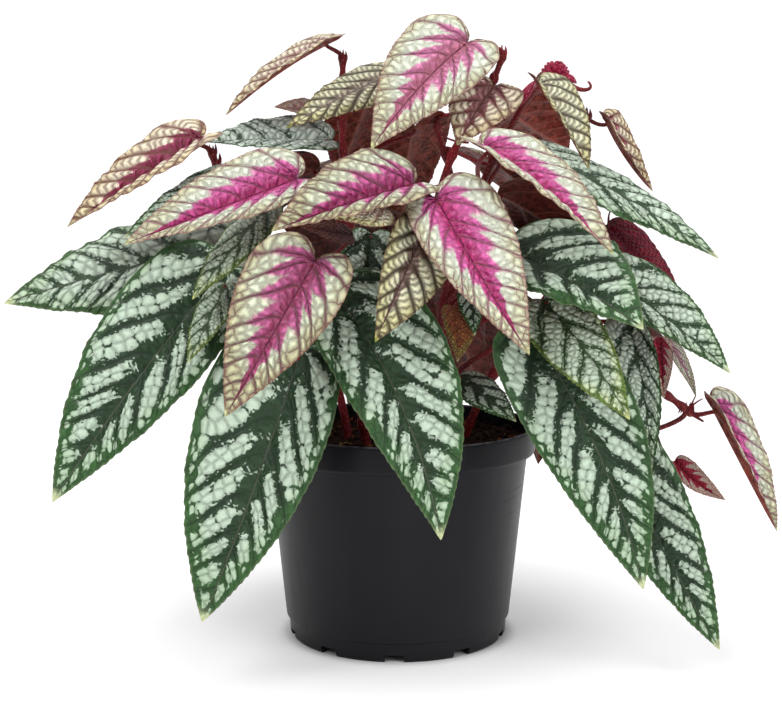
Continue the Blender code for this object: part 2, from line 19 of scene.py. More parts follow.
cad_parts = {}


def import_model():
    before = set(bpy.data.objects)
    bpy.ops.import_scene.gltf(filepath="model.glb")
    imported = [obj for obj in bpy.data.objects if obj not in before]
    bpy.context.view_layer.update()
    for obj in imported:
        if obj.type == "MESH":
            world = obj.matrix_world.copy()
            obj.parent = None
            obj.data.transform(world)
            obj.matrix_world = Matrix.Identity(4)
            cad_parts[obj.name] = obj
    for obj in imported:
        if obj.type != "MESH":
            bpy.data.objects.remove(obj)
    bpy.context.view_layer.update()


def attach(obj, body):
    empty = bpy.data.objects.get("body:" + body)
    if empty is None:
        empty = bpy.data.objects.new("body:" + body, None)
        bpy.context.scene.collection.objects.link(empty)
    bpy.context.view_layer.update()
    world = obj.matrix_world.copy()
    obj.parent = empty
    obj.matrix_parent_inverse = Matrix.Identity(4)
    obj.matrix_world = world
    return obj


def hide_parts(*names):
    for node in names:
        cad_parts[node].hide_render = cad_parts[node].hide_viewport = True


LOG = logging.getLogger("vine")
MM = 0.001
BODY = "root"
GOLDEN_SHARE = 0.618

PHOTO_WIDTH_PX = 782
FOCAL_PX = 1417.0
SENSOR_MM = 36.0
CAMERA_MM = (-3.0, -613.0, 196.3)
CAMERA_PITCH = 6.72
# Name, place and two sides in metres, power in watts, and the point that the light faces.
LIGHTS = (
    ("key_light", (-0.9, -1.1, 1.5), (1.0, 1.0), 20.0, (0.0, 0.0, 0.15)),
    ("fill_light", (1.2, -1.0, 0.8), (1.1, 1.1), 12.0, (0.0, 0.0, 0.15)),
    ("top_light", (0.0, 0.1, 1.7), (1.8, 1.4), 17.0, (0.0, 0.0, 0.1)),
)

Point = tuple[float, float, float]
Colour = tuple[float, float, float]
Span = tuple[float, float]
Socket = bpy.types.NodeSocket

BLACK: Colour = (0.0, 0.0, 0.0)


def srgb(red: int, green: int, blue: int) -> Colour:
    """Turns a screen colour of 0 to 255 into the linear colour that a shader reads.

    Args:
        red: The red channel.
        green: The green channel.
        blue: The blue channel.

    Returns:
        The linear colour.
    """
    channels = (value / 255 for value in (red, green, blue))
    return tuple(c / 12.92 if c <= 0.04045 else ((c + 0.055) / 1.055) ** 2.4 for c in channels)


def unit(vectors: np.ndarray) -> np.ndarray:
    """Scales each vector to length one; a vector of no length stays as it is."""
    length = np.linalg.norm(vectors, axis=-1, keepdims=True)
    return vectors / np.where(length < 1e-12, 1.0, length)


def smooth_step(values: np.ndarray, low: float, high: float) -> np.ndarray:
    """Rises from 0 at low to 1 at high, as 3t^2 - 2t^3."""
    share = np.clip((values - low) / (high - low), 0, 1)
    return share * share * (3 - 2 * share)


def run_along(points: np.ndarray) -> np.ndarray:
    """Measures the way along a line from its first point to each."""
    return np.concatenate([[0], np.cumsum(np.linalg.norm(np.diff(points, axis=0), axis=1))])


def bezier(points: tuple, share: np.ndarray) -> np.ndarray:
    """Works out a cubic Bezier arc.

    Args:
        points: Its four control points.
        share: Where on the arc, 0 to 1, one value for each point wanted.

    Returns:
        The points, one row for each share.
    """
    t = np.asarray(share, float)[:, None]
    a, b, c, d = (np.asarray(point, float) for point in points)
    return (1 - t) ** 3 * a + 3 * (1 - t) ** 2 * t * b + 3 * (1 - t) * t**2 * c + t**3 * d


def spline_through(points: list[Point] | tuple, shares: np.ndarray) -> np.ndarray:
    """Works out a Catmull-Rom spline through given points.

    Args:
        points: The points that it passes through.
        shares: Where on the spline, 0 to 1, one value for each point wanted.

    Returns:
        The points, one row for each share.
    """
    known = np.asarray(points, float)
    known = np.concatenate([[2 * known[0] - known[1]], known, [2 * known[-1] - known[-2]]])
    spans = len(known) - 3
    place = np.clip(np.asarray(shares, float), 0, 1) * spans
    first = np.minimum(place.astype(int), spans - 1)
    t = (place - first)[:, None]
    a, b, c, d = known[first], known[first + 1], known[first + 2], known[first + 3]
    return 0.5 * (2 * b + (c - a) * t + (2 * a - 5 * b + 4 * c - d) * t**2 + (3 * b - a - 3 * c + d) * t**3)


class LeafForm(Enum):
    """The outline that a blade has."""

    YOUNG = "young"
    MATURE = "mature"
    LEAFLET = "leaflet"


class LeafDress(Enum):
    """The pattern that a blade wears."""

    SILVER = "silver"
    BROAD = "broad silver"
    FRESH = "fresh"
    BLUE = "blue"
    PINK = "pink"
    ROSE = "rose"
    DUSKY = "dusky rose"
    BROWN_NET = "brown net"
    GREEN_NET = "green net"
    LIME = "lime"
    ORANGE = "orange"
    MAROON = "maroon"
    RUBY = "ruby"
    CRIMSON = "crimson"


@dataclass(frozen=True)
class Outline:
    """Half an outline from junction to tip: two Bezier arcs, across in half widths, along in lengths."""

    lobe: tuple
    side: tuple


OUTLINES = {
    LeafForm.YOUNG: Outline(((0.0, 0.0), (0.08, -0.17), (1.0, -0.20), (1.0, 0.17)),
                            ((1.0, 0.17), (1.0, 0.50), (0.42, 0.80), (0.0, 1.0))),
    LeafForm.MATURE: Outline(((0.0, 0.0), (0.22, -0.085), (0.98, -0.10), (1.0, 0.24)),
                             ((1.0, 0.24), (1.02, 0.56), (0.44, 0.82), (0.0, 1.0))),
    LeafForm.LEAFLET: Outline(((0.0, 0.0), (0.45, -0.03), (0.95, 0.02), (1.0, 0.27)),
                              ((1.0, 0.27), (1.0, 0.55), (0.42, 0.80), (0.0, 1.0))),
}

# The bends of the solids' blades, in shares of the length or the half width, and their rows to the tip.
ARCH = 0.05
CUP = 0.12
WAVE = 0.03
VEIN_CURVE = 1.4
LOBE_ROWS = 2
WIDE_LEAF_MM = 34.5
WIDE_ROWS = 7
NARROW_ROWS = 5
LEAFLET_ROWS = 3

# What the blades and their finishes share. Each noise is its scale for each millimetre and its detail, in the
# order ragged, broad, grain and lobes.
BASE_WIDTH_MM = 42.0
CELL_JITTER = 0.65
CELL_RAGGED = (0.25, 0.2)
CELL_SEED_STEP = 5.0
NOISE_SEED_STEP = 3.7
BLADE_NOISES = ((0.5, 2.0), (0.07, 2.0), (2.6, 2.0), (0.75, 0.5))
STREAK_SQUEEZE = (2.0, 1.7)
STREAK_DETAIL = 3.0


@dataclass(frozen=True)
class Leaf:
    """One blade: where its stalk meets it, its tip, the way its upper face looks, its bends and its dress.

    Azimuth and elevation are degrees, 0 azimuth is towards the viewer and 90 towards +X. Fold is the degrees
    that each half is raised, sweep the sideways bow in lengths, skew the share by which one half is wider, stem
    and share say where the stalk leaves, and pink is how much of the young pink the dress shows.
    """

    name: str
    junction: Point
    tip: Point
    azimuth: float
    elevation: float
    width: float
    fold: float
    sweep: float
    skew: float
    stem: int
    share: float
    dress: LeafDress = LeafDress.SILVER
    pink: float = 0.0

    @property
    def form(self) -> LeafForm:
        """The outline, which the name starts with."""
        return LeafForm(self.name.split("_")[0])

    @property
    def seed(self) -> int:
        """A whole number of the leaf's own, for its random draws."""
        return sum(ord(letter) * (place + 3) for place, letter in enumerate(self.name))


LEAVES = (
    Leaf("young_leaf_01", (29, -8, 255), (-11, -46, 210), 10, 30, 39, 12, 0.02, 0.12, 3, 1.0,
         LeafDress.PINK, 0.85),
    Leaf("young_leaf_02", (-30, 14, 257), (-73, -6, 225), -60, 50, 29, 20, -0.08, 0.2, 2, 1.0,
         LeafDress.BROWN_NET, 0.45),
    Leaf("young_leaf_03", (-84, -10, 215), (-134, -38, 179), -32, 48, 35, 20, -0.09, 0.2, 1, 1.0,
         LeafDress.BROWN_NET, 1.0),
    Leaf("young_leaf_04", (-41, -50, 198), (-102, -88, 174), 10, 45, 32, 18, -0.04, 0.2, 1, 0.45,
         LeafDress.ROSE, 1.0),
    Leaf("young_leaf_05", (5, -48, 196), (-47, -92, 179), 14, 56, 39, 22, -0.04, 0.2, 3, 0.5,
         LeafDress.DUSKY, 1.0),
    Leaf("young_leaf_06", (15, -58, 190), (47, -106, 135), -6, 38, 37, 12, 0.02, -0.2, 6, 1.0,
         LeafDress.ROSE, 1.0),
    Leaf("young_leaf_07", (34, -48, 210), (80, -84, 170), 40, 50, 36, 26, 0.03, -0.2, 4, 0.55,
         LeafDress.ROSE, 1.0),
    Leaf("young_leaf_08", (-32, -78, 167), (-62, -116, 114), 8, 32, 40, 12, -0.01, 0.12, 5, 1.0,
         LeafDress.DUSKY, 0.95),
    Leaf("young_leaf_09", (-1, 8, 244), (-46, -26, 219), 6, 44, 26, -10, -0.02, 0.2, 2, 0.85,
         LeafDress.GREEN_NET, 0.55),
    Leaf("young_leaf_10", (40, -6, 237), (24, -28, 212), -5, 30, 31, 12, 0.0, 0.0, 3, 0.75,
         LeafDress.BROWN_NET, 0.8),
    Leaf("young_leaf_11", (58, -18, 237), (76, -42, 202), 46, 36, 24, 34, 0.06, -0.3, 4, 0.85,
         LeafDress.GREEN_NET, 0.25),
    Leaf("young_leaf_12", (90, 8, 223), (110, 2, 193), 46, 32, 20, 46, 0.18, 0.1, 4, 0.8,
         LeafDress.BROWN_NET, 0.9),
    Leaf("young_leaf_13", (-6, -60, 187), (-34, -81, 186), 26, 54, 20, -10, -0.04, 0.1, 6, 0.92,
         LeafDress.LIME, 0.35),
    Leaf("young_leaf_14", (11, -57, 180), (-9, -91, 138), 25, 28, 29, 14, 0.01, -0.15, 6, 0.85,
         LeafDress.GREEN_NET, 0.8),
    Leaf("young_leaf_15", (131.2, -28, 103.4), (155, -46, 55), 50, 27, 27, 46, 0.1, -0.1, 7, 1.0,
         LeafDress.ROSE, 1.0),
    Leaf("young_leaf_16", (-41, 32, 202), (-87, 68, 160), -128, 52, 38, 14, 0.02, 0.05, 9, 0.9,
         LeafDress.PINK, 0.7),
    Leaf("young_leaf_17", (8, 36, 222), (4, 86, 172), -166, 42, 40, 14, -0.03, -0.05, 9, 1.0,
         LeafDress.ROSE, 0.9),
    Leaf("young_leaf_18", (47.5, 20, 229.5), (80, 54, 212), 156, 50, 50, 14, -0.08, 0.05, 8, 1.0,
         LeafDress.ROSE, 1.0),
    Leaf("young_leaf_19", (42, 28, 207), (90, 60, 162), 124, 46, 54, 14, -0.02, -0.05, 8, 0.9,
         LeafDress.PINK, 0.8),
    Leaf("young_leaf_20", (-11, 26, 238), (-29, 66, 198), -156, 45, 38, 14, 0.02, 0.05, 2, 0.9,
         LeafDress.BROWN_NET, 0.5),
    Leaf("mature_leaf_01", (-65, -8, 172), (-164, -26, 147), -4, 43, 57, -6, -0.02, 0.12, 1, 0.3,
         LeafDress.BROAD),
    Leaf("mature_leaf_02", (-70, -42, 162), (-135, -72, 73), -6, 21, 50, 10, 0.0, 0.14, 5, 0.5),
    Leaf("mature_leaf_03", (-38, -64, 132), (-76, -82, 28), -7, 12, 54, 10, -0.02, 0.2, 5, 0.3),
    Leaf("mature_leaf_04", (-25, -62, 155), (16, -88, 62), 12, 20, 48, 10, -0.05, -0.18, 5, 0.65),
    Leaf("mature_leaf_05", (52, -60, 139), (94.6, -80, 40.5), 1, 12, 45, 10, -0.04, 0.0, 6, 0.3),
    Leaf("mature_leaf_06", (94.3, -34, 141), (101.5, -54, 82), 10, 19, 22, 12, -0.01, 0.25, 7, 0.55,
         LeafDress.BROAD),
    Leaf("mature_leaf_07", (88, -38, 92), (130, -58, 9), 16, 20, 36, 12, 0.04, -0.12, 7, 0.97),
    Leaf("mature_leaf_08", (43, -44, 170), (90, -94, 143), -8, 54, 48, 15, 0.0, -0.2, 6, 0.6),
    Leaf("mature_leaf_09", (81, -30, 161), (131, -58, 122), 7, 38, 28, 12, 0.0, -0.25, 7, 0.45,
         LeafDress.BROAD),
    Leaf("mature_leaf_10", (57, -58, 151), (85, -98, 110), -20, 34, 27, 12, -0.02, 0.12, 6, 0.45,
         LeafDress.FRESH),
    Leaf("mature_leaf_11", (46.5, -6, 213), (131, -34, 166), 24, 45, 38, -12, 0.0, -0.35, 4, 0.45,
         LeafDress.BROAD),
    Leaf("mature_leaf_12", (-29, 6, 215), (-82, -6, 214), 14, 58, 30, 12, -0.05, 0.2, 2, 0.5,
         LeafDress.BLUE),
    Leaf("mature_leaf_13", (-67, -12, 201), (-109, -50, 175), -11, 52, 20, 14, -0.05, 0.2, 1, 0.8,
         LeafDress.BROAD),
    Leaf("mature_leaf_14", (-51, -50, 188), (-78, -80, 153), -22, 44, 22, -8, -0.04, 0.2, 5, 0.9,
         LeafDress.FRESH),
    Leaf("mature_leaf_15", (-68, -56, 157), (-80, -80, 129), -22, 41, 17, -8, -0.04, 0.2, 5, 0.75,
         LeafDress.FRESH),
    Leaf("mature_leaf_16", (-11, -38, 176), (-14, -60, 134), 4, 24, 24, 14, 0.0, 0.0, 5, 0.7),
    Leaf("mature_leaf_17", (25, -38, 118), (46, -66, 104), -15, 56, 17, -8, 0.03, -0.2, 6, 0.25),
    Leaf("mature_leaf_18", (-53, 33, 166), (-126, 78, 112), -122, 48, 48, 10, 0.02, 0.05, 9, 0.55),
    Leaf("mature_leaf_19", (-34, 50, 156), (-69, 103, 66), -146, 28, 52, 10, -0.03, -0.08, 9, 0.45),
    Leaf("mature_leaf_20", (-6, 62, 146), (-11, 103, 38), -174, 18, 50, 10, 0.03, 0.06, 8, 0.3),
    Leaf("mature_leaf_21", (21, 56, 162), (44, 122, 82), 160, 32, 52, 10, -0.02, -0.06, 8, 0.45),
    Leaf("mature_leaf_22", (44, 44, 146), (70, 79, 58), 135, 20, 50, 10, 0.03, 0.08, 8, 0.35),
    Leaf("mature_leaf_23", (57, 25, 172), (130, 58, 116), 114, 46, 46, 10, -0.03, -0.05, 8, 0.6),
    Leaf("mature_leaf_24", (-44, 14, 150), (-116, 30, 102), -120, 30, 42, 10, 0.03, 0.06, 9, 0.35),
    Leaf("mature_leaf_25", (66, 7, 146), (117, 12, 62), 96, 24, 44, 10, -0.03, -0.06, 8, 0.4),
    Leaf("mature_leaf_26", (-16, 50, 185), (-57, 109, 110), 176, 36, 58, 12, 0.02, 0.05, 8, 0.75),
    Leaf("mature_leaf_27", (44, 15, 192), (96, 40, 153), 140, 44, 46, 12, 0.02, 0.05, 4, 0.35),
    Leaf("mature_leaf_28", (-35, 18, 203), (-104, 44, 160), -145, 44, 42, 12, -0.02, -0.05, 2, 0.45),
    Leaf("leaflet_a", (21, -50, 148), (23, -62, 127), 24, 30, 15, 14, -0.02, -0.2, 6, 0.35,
         LeafDress.ORANGE, 0.2),
    Leaf("leaflet_b", (108.5, -28, 133), (109, -38, 109), -13, 21, 12, 20, 0.0, 0.1, 7, 0.7,
         LeafDress.RUBY, 1.0),
    Leaf("leaflet_c", (111, -24, 133), (124, -30, 108), 31, 24, 10, 30, 0.0, 0.15, 7, 0.72,
         LeafDress.PINK, 0.6),
    Leaf("leaflet_d", (116, -28, 81), (136, -36, 66), 9, 35, 12, 20, 0.1, -0.05, 7, 0.75,
         LeafDress.RUBY, 1.0),
    Leaf("leaflet_e", (-35, 10, 228), (-53, 0, 229), 32, 45, 11, 20, -0.08, 0.2, 2, 0.82,
         LeafDress.RUBY, 0.5),
    Leaf("leaflet_f", (-18, -56, 176), (-38, -66, 180), 38, 42, 12, 15, -0.05, -0.1, 5, 0.97,
         LeafDress.MAROON, 0.8),
    Leaf("leaflet_g", (89, -6, 179), (120.5, -14, 147), 26, 32, 19, 12, 0.05, -0.3, 7, 0.35,
         LeafDress.CRIMSON, 1.0),
    Leaf("leaflet_h", (29, -44, 156), (30, -58, 137), -8, 36, 12, 14, 0.0, 0.0, 6, 0.55),
)

STEMS = {
    1: ((-22, -4), 2.0, ((-34, -6, 135), (-56, -4, 170), (-74, -3, 190), (-79, -5, 209))),
    2: ((-12, 14), 2.0, ((-18, 14, 150), (-24, 14, 210), (-24, 14, 250))),
    3: ((4, 4), 2.1, ((8, 3, 150), (22, 3, 205), (38, 2, 234), (44.5, 2, 250))),
    4: ((16, 10), 2.1, ((24, 8, 150), (36, 4, 195), (58, 3, 237), (69, -1, 247))),
    5: ((-14, -22), 2.1, ((-20, -32, 120), (-28, -42, 148), (-32, -60, 164))),
    6: ((12, -20), 2.1, ((16, -28, 130), (20, -38, 165), (14, -46, 182))),
    7: ((30, -6), 2.0, ((50, -10, 128), (76, -16, 137), (100, -24, 118), (122, -28, 101.5))),
    8: ((18, 26), 2.1, ((26, 34, 140), (26, 38, 190), (18, 38, 222))),
    9: ((-14, 28), 2.1, ((-22, 34, 140), (-24, 36, 180), (-16, 38, 206))),
}


CROWNS = {
    1: ((-79.0, -5.0, 208.6), (-77.0, -5.0, 205.0)),
    2: ((-24.0, 13.4, 249.6),),
    3: ((41.0, 1.6, 240.0), (44.6, 1.6, 250.6)),
    4: ((82.0, 7.0, 224.6), (52.0, 2.0, 231.0)),
    7: ((121.5, -28.0, 101.7), (105.0, -26.0, 114.0)),
}
TENDRILS = {
    3: (((30.0, 2.0, 214.0), (22.0, 0.0, 214.0), (14.0, -2.0, 218.0), (18.0, -3.0, 223.0), 0.55),),
    4: (((74.0, -3.0, 237.6), (77.5, -6.0, 234.6), (83.6, -7.0, 235.6), (80.2, -7.0, 239.0), 1.1),),
    7: (((121.0, -28.0, 102.0), (122.5, -28.5, 104.4), (123.6, -29.0, 105.8), (126.6, -29.2, 107.4), 0.6),
        ((122.4, -28.2, 103.8), (122.7, -28.4, 105.4), (123.0, -28.5, 106.8), (124.0, -28.6, 108.6), 0.5),
        ((119.6, -28.0, 102.8), (122.4, -28.4, 101.0), (124.8, -28.8, 99.4), (127.2, -29.0, 98.0), 1.0),
        ((89.4, -7.0, 177.0), (90.0, -7.4, 180.0), (89.0, -7.6, 182.4), (90.2, -7.8, 184.6), 0.7),
        ((89.6, -7.0, 179.0), (91.6, -7.4, 179.6), (94.0, -7.8, 181.0), (96.4, -8.0, 183.4), 0.6)),
}


class Midrib:
    """The curved middle of a blade, in millimetres: where it runs, and the ways up and sideways from it."""

    def __init__(self, leaf: Leaf) -> None:
        """Works out the blade's frame.

        Args:
            leaf: The blade.
        """
        azimuth, elevation = math.radians(leaf.azimuth), math.radians(leaf.elevation)
        face = np.array((math.sin(azimuth) * math.cos(elevation), -math.cos(azimuth) * math.cos(elevation),
                         math.sin(elevation)))
        self.leaf = leaf
        self.start, self.end = np.array(leaf.junction, float), np.array(leaf.tip, float)
        self.length = float(np.linalg.norm(self.end - self.start))
        chord = (self.end - self.start) / self.length
        self.up = unit(face - face.dot(chord) * chord)
        self.side = np.cross(chord, self.up)
        self.middle = (self.start + self.end) / 2 + self.up * (2 * ARCH * self.length)

    def at(self, share: np.ndarray) -> tuple[np.ndarray, np.ndarray, np.ndarray]:
        """Works out the midrib at shares of its length, straight on below 0.

        The middle line is an arc of a parabola that bows sideways by 4 sweep share (1 - share) lengths.

        Args:
            share: Shares of the length.

        Returns:
            The points, the directions along the midrib and the directions up from it.
        """
        share = np.asarray(share, float)[..., None]
        inside = np.clip(share, 0, 1)
        rest = 1 - inside
        point = rest**2 * self.start + 2 * rest * inside * self.middle + inside**2 * self.end
        along = unit(rest * (self.middle - self.start) + inside * (self.end - self.middle))
        point = point + np.minimum(share, 0) * self.length * along
        point = point + self.leaf.sweep * self.length * 4 * inside * rest * self.side
        normal = unit(self.up - (along @ self.up)[..., None] * along)
        return point, along, normal

    def surface(self, across: np.ndarray, share: np.ndarray, wave: np.ndarray) -> tuple[np.ndarray, np.ndarray]:
        """Works out points of the blade between its two faces.

        Each half rises by the sine of the fold, and sinks by the cup times the square of the way out.

        Args:
            across: The way out from the midrib, in half widths, negative on the left.
            share: The way along, in lengths.
            wave: The rise of the waved margin, in half widths.

        Returns:
            The points and the directions square to the blade.
        """
        point, along, normal = self.at(share)
        sideways = np.cross(along, normal)
        half = self.leaf.width / 2
        out = across * half * (1 + self.leaf.skew * np.sign(across))
        fold = math.radians(self.leaf.fold)
        rise = abs(out) * math.sin(fold) - CUP * half * (out / half) ** 2 + wave * half
        slope = (np.sign(out) * math.sin(fold) - 2 * CUP * out / half) / math.cos(fold)
        square = unit(normal - sideways * slope[..., None])
        return point + sideways * (out * math.cos(fold))[..., None] + normal * rise[..., None], square


@dataclass(frozen=True)
class VeinStyle:
    """How the side veins of a form of blade run, how they crowd towards the tip, and how deep they lie."""

    rise: float
    bend: float
    count: float
    crowd: float
    quilt_mm: float
    tooth_mm: float
    length_mm: float


VEINS = {
    LeafForm.YOUNG: VeinStyle(0.36, 1.2, 4.6, 2.3, 1.5, 0.35, 72.0),
    LeafForm.MATURE: VeinStyle(0.34, 1.25, 3.8, 3.8, 1.3, 0.4, 112.0),
    LeafForm.LEAFLET: VeinStyle(0.32, 1.25, 4.2, 2.0, 0.3, 0.15, 30.0),
}


def link(name: str, data: bpy.types.ID) -> bpy.types.Object:
    """Makes an object of a mesh, a light or a camera, and puts it in the scene.

    Args:
        name: Name of the object.
        data: What it shows.

    Returns:
        The object, at the origin.
    """
    obj = bpy.data.objects.new(name, data)
    bpy.context.scene.collection.objects.link(obj)
    return obj


def link_mesh(name: str, points_mm: np.ndarray, faces: np.ndarray,
              slots: np.ndarray | None = None) -> bpy.types.Object:
    """Makes a mesh object in the scene.

    Args:
        name: Name of the object.
        points_mm: Its vertices in millimetres, one row each.
        faces: The corners of its faces, one row each, all of the same count.
        slots: The material slot of each face, all 0 where left out.

    Returns:
        The object, at the origin.
    """
    mesh = bpy.data.meshes.new(name)
    mesh.vertices.add(len(points_mm))
    mesh.vertices.foreach_set("co", (points_mm * MM).astype(np.float32).ravel())
    corners = faces.shape[1]
    mesh.loops.add(faces.size)
    mesh.loops.foreach_set("vertex_index", faces.astype(np.int32).ravel())
    mesh.polygons.add(len(faces))
    mesh.polygons.foreach_set("loop_start", np.arange(0, faces.size, corners, dtype=np.int32))
    if slots is not None:
        mesh.polygons.foreach_set("material_index", slots.astype(np.int32))
    mesh.update(calc_edges=True)
    return link(name, mesh)


def weld(mesh: bpy.types.Mesh, reach_mm: float) -> None:
    """Makes one vertex of those that lie closer than the reach, and drops the faces that vanish.

    Args:
        mesh: The mesh to change.
        reach_mm: How far apart two vertices may lie and still become one.
    """
    work = bmesh.new()
    work.from_mesh(mesh)
    bmesh.ops.remove_doubles(work, verts=work.verts, dist=reach_mm * MM)
    work.to_mesh(mesh)
    work.free()


def add_uv(mesh: bpy.types.Mesh, name: str, values: np.ndarray) -> None:
    """Adds a UV map from one pair of numbers for each face corner."""
    mesh.uv_layers.new(name=name).uv.foreach_set("vector", values.astype(np.float32).ravel())


def add_field(mesh: bpy.types.Mesh, name: str, values: np.ndarray) -> None:
    """Adds a named number for each vertex."""
    mesh.attributes.new(name, "FLOAT", "POINT").data.foreach_set("value", values.astype(np.float32).ravel())


@dataclass
class Blade:
    """One leaf blade: a closed sheet quilted between its veins, with a toothed and gently ruffled margin.

    The quilt, groove and ruffle are millimetres in a blade of the width relief_width_mm and grow with the
    blade. Row and column crowding gather the grid's rows and columns towards the tip and the margin. The counts
    of the two halves' veins start at different numbers, so that neither half repeats the other's cells.
    """

    leaf: Leaf
    thick_mm: float = 0.5
    lobe_steps: int = 14
    side_steps: int = 70
    columns: int = 33
    small_mm: float = 26.0
    small_grid: tuple[int, int, int] = (10, 46, 23)
    row_crowding: float = 0.96
    column_crowding: float = 0.25
    last_share: float = 0.994
    short_leaf: float = 0.6
    fan: float = 2.6
    left_shift: float = 0.35
    left_count: int = 40
    right_count: int = 20
    seeds: int = 97
    relief_width_mm: float = 40.0
    quilt_round: float = 0.8
    fade_mm: float = 5.0
    rim_fade_mm: float = 4.0
    ruffle_mm: float = 0.45
    groove_mm: float = 0.4
    groove_half_mm: float = 1.1
    tooth_rows: int = 3
    tooth_span: Span = (0.93, 1.0)
    under_lift: float = 0.85
    rim_thinness: float = 0.4
    rim_thin_mm: float = 1.5
    weld_mm: float = 0.004
    crease: float = 50.0

    def __post_init__(self) -> None:
        """Gives a small blade a coarser grid."""
        if self.leaf.form is LeafForm.LEAFLET or self.leaf.width < self.small_mm:
            self.lobe_steps, self.side_steps, self.columns = self.small_grid

    def outline_rows(self) -> tuple[np.ndarray, np.ndarray, np.ndarray]:
        """Works out the rows of the grid from the junction round the lobes to the tip.

        Returns:
            The margin's (across, along) in each row, the midrib's share there, and the station in the CAD rows.
        """
        outline = OUTLINES[self.leaf.form]
        lobe = np.linspace(0, 1, self.lobe_steps, endpoint=False)
        side = np.linspace(0, 1, self.side_steps) ** self.row_crowding * self.last_share
        edge = np.concatenate([bezier(outline.lobe, lobe), bezier(outline.side, side)])
        middle = np.where(np.arange(len(edge)) < len(lobe), 0.0, edge[:, 1] - edge[:, 0] * outline.side[0][1])
        rows = WIDE_ROWS if self.leaf.width > WIDE_LEAF_MM else NARROW_ROWS
        if self.leaf.form is LeafForm.LEAFLET:
            rows = LEAFLET_ROWS
        station = np.concatenate([LOBE_ROWS * lobe, LOBE_ROWS + rows * side])
        return edge, middle, station

    def vein_phase(self, across: np.ndarray, along: np.ndarray, left: bool) -> np.ndarray:
        """Counts the side veins: a whole number on each vein, and the share of the way to the next in between.

        A vein leaves the midrib at w and rises as rise |x|^bend. A short blade has fewer. Behind the junction
        the veins spread like a fan, as the arc tangent of the way back over the way out. Low sines make them
        waver.

        Args:
            across: The way out, in half widths.
            along: The way along, in lengths.
            left: Whether this is the left half, whose veins leave a little farther up.

        Returns:
            The count, of the same shape.
        """
        style, draw = VEINS[self.leaf.form], np.random.default_rng(self.leaf.seed + left)
        out = abs(across)
        density = (Midrib(self.leaf).length / style.length_mm) ** self.short_leaf
        w = along - style.rise * out**style.bend
        ahead = density * (style.count * w + style.crowd * w**2)
        behind = -self.fan * np.arctan(-w * density * style.count / (self.fan * np.maximum(out, 0.05)))
        phase = np.where(w >= 0, ahead, behind)
        phase = phase + (self.left_shift if left else 0.0) * smooth_step(w, 0.05, 0.3)
        one, two, three = draw.uniform(0, 6.3, 3)
        phase = phase + 0.10 * np.sin(2.3 * phase + one) + 0.05 * np.sin(9 * along + 3 * out + two)
        return phase + 0.03 * np.sin(14 * out + three)

    def vein_run(self, out_mm: np.ndarray, along_mm: np.ndarray, slope: float) -> np.ndarray:
        """Works out the way along the side veins, so that its steps lie square to them.

        Ahead of the first vein it is the share of (out, along) that points the way the veins lean, and behind it
        the way from the junction.

        Args:
            out_mm: The way out from the midrib.
            along_mm: The way along.
            slope: How steeply the veins rise.

        Returns:
            The run in millimetres.
        """
        ahead = (out_mm + slope * along_mm) / math.hypot(1, slope)
        return np.where(along_mm > slope * out_mm, ahead, np.hypot(out_mm, along_mm))

    def relief(self, phase: np.ndarray, out_mm: np.ndarray, edge_mm: np.ndarray,
               along: np.ndarray) -> np.ndarray:
        """Works out how far the upper side stands off the plain blade.

        The quilt is the sine of half the way between two veins, faded in over the first millimetres from midrib
        and margin; the midrib lies in a groove.

        Args:
            phase: The vein count.
            out_mm: The way out from the midrib.
            edge_mm: The way in from the margin.
            along: The way along, in lengths.

        Returns:
            The rise in millimetres.
        """
        size = self.leaf.width / self.relief_width_mm
        fade = self.fade_mm * size
        quilt = np.sin(math.pi * (phase % 1)) ** self.quilt_round
        quilt = quilt * smooth_step(out_mm, 0.4, fade) * smooth_step(edge_mm, 0, self.rim_fade_mm * size)
        groove = np.exp(-((out_mm / (self.groove_half_mm * size)) ** 2))
        groove = groove * smooth_step(along, -0.02, 0.05) * smooth_step(1 - along, 0, 0.2)
        ruffle = np.cos(2 * math.pi * phase) * (1 - smooth_step(edge_mm, 0, fade))
        ruffle = ruffle * smooth_step(1 - along, 0.05, 0.3)
        quilt_mm = VEINS[self.leaf.form].quilt_mm
        return quilt_mm * size * quilt - self.groove_mm * size * groove + self.ruffle_mm * size * ruffle

    def build(self) -> bpy.types.Object:
        """Builds the closed sheet with its fields for the shader.

        Returns:
            The mesh object: slot 0 is the upper side, slot 1 the underside.
        """
        leaf, midrib, style = self.leaf, Midrib(self.leaf), VEINS[self.leaf.form]
        edge, middle, station = self.outline_rows()
        u = np.linspace(-1, 1, self.columns)
        crowded = u * (1 + self.column_crowding - self.column_crowding * u**2)
        v = np.broadcast_to(crowded, (len(edge), self.columns))
        across = edge[:, :1] * v
        along = middle[:, None] + (edge[:, 1:] - middle[:, None]) * abs(v) ** VEIN_CURVE
        wave = WAVE * v**2 * edge[:, :1] * np.cos(math.pi * station)[:, None]
        half = leaf.width / 2 * (1 + leaf.skew * np.sign(v))
        out_mm = abs(across) * half
        edge_mm = (1 - abs(v)) * edge[:, :1] * half
        saw = (np.arange(len(edge)) % self.tooth_rows / (self.tooth_rows - 1))[:, None] - 0.5
        tooth = style.tooth_mm * saw * smooth_step(abs(v), *self.tooth_span)
        tooth = tooth * smooth_step(edge[:, :1], 0.02, 0.3)
        across = across + np.sign(v) * tooth / half
        left, right = (self.vein_phase(across, along, side) for side in (True, False))
        phase = np.where(v < 0, left, right)
        point, square = midrib.surface(across, along, wave)
        lift = self.relief(phase, out_mm, edge_mm, along)
        thinness, fullness = self.rim_thinness, smooth_step(edge_mm, 0, self.rim_thin_mm)
        thick = self.thick_mm / 2 * (thinness + (1 - thinness) * fullness)
        top = point + square * (lift + thick)[..., None]
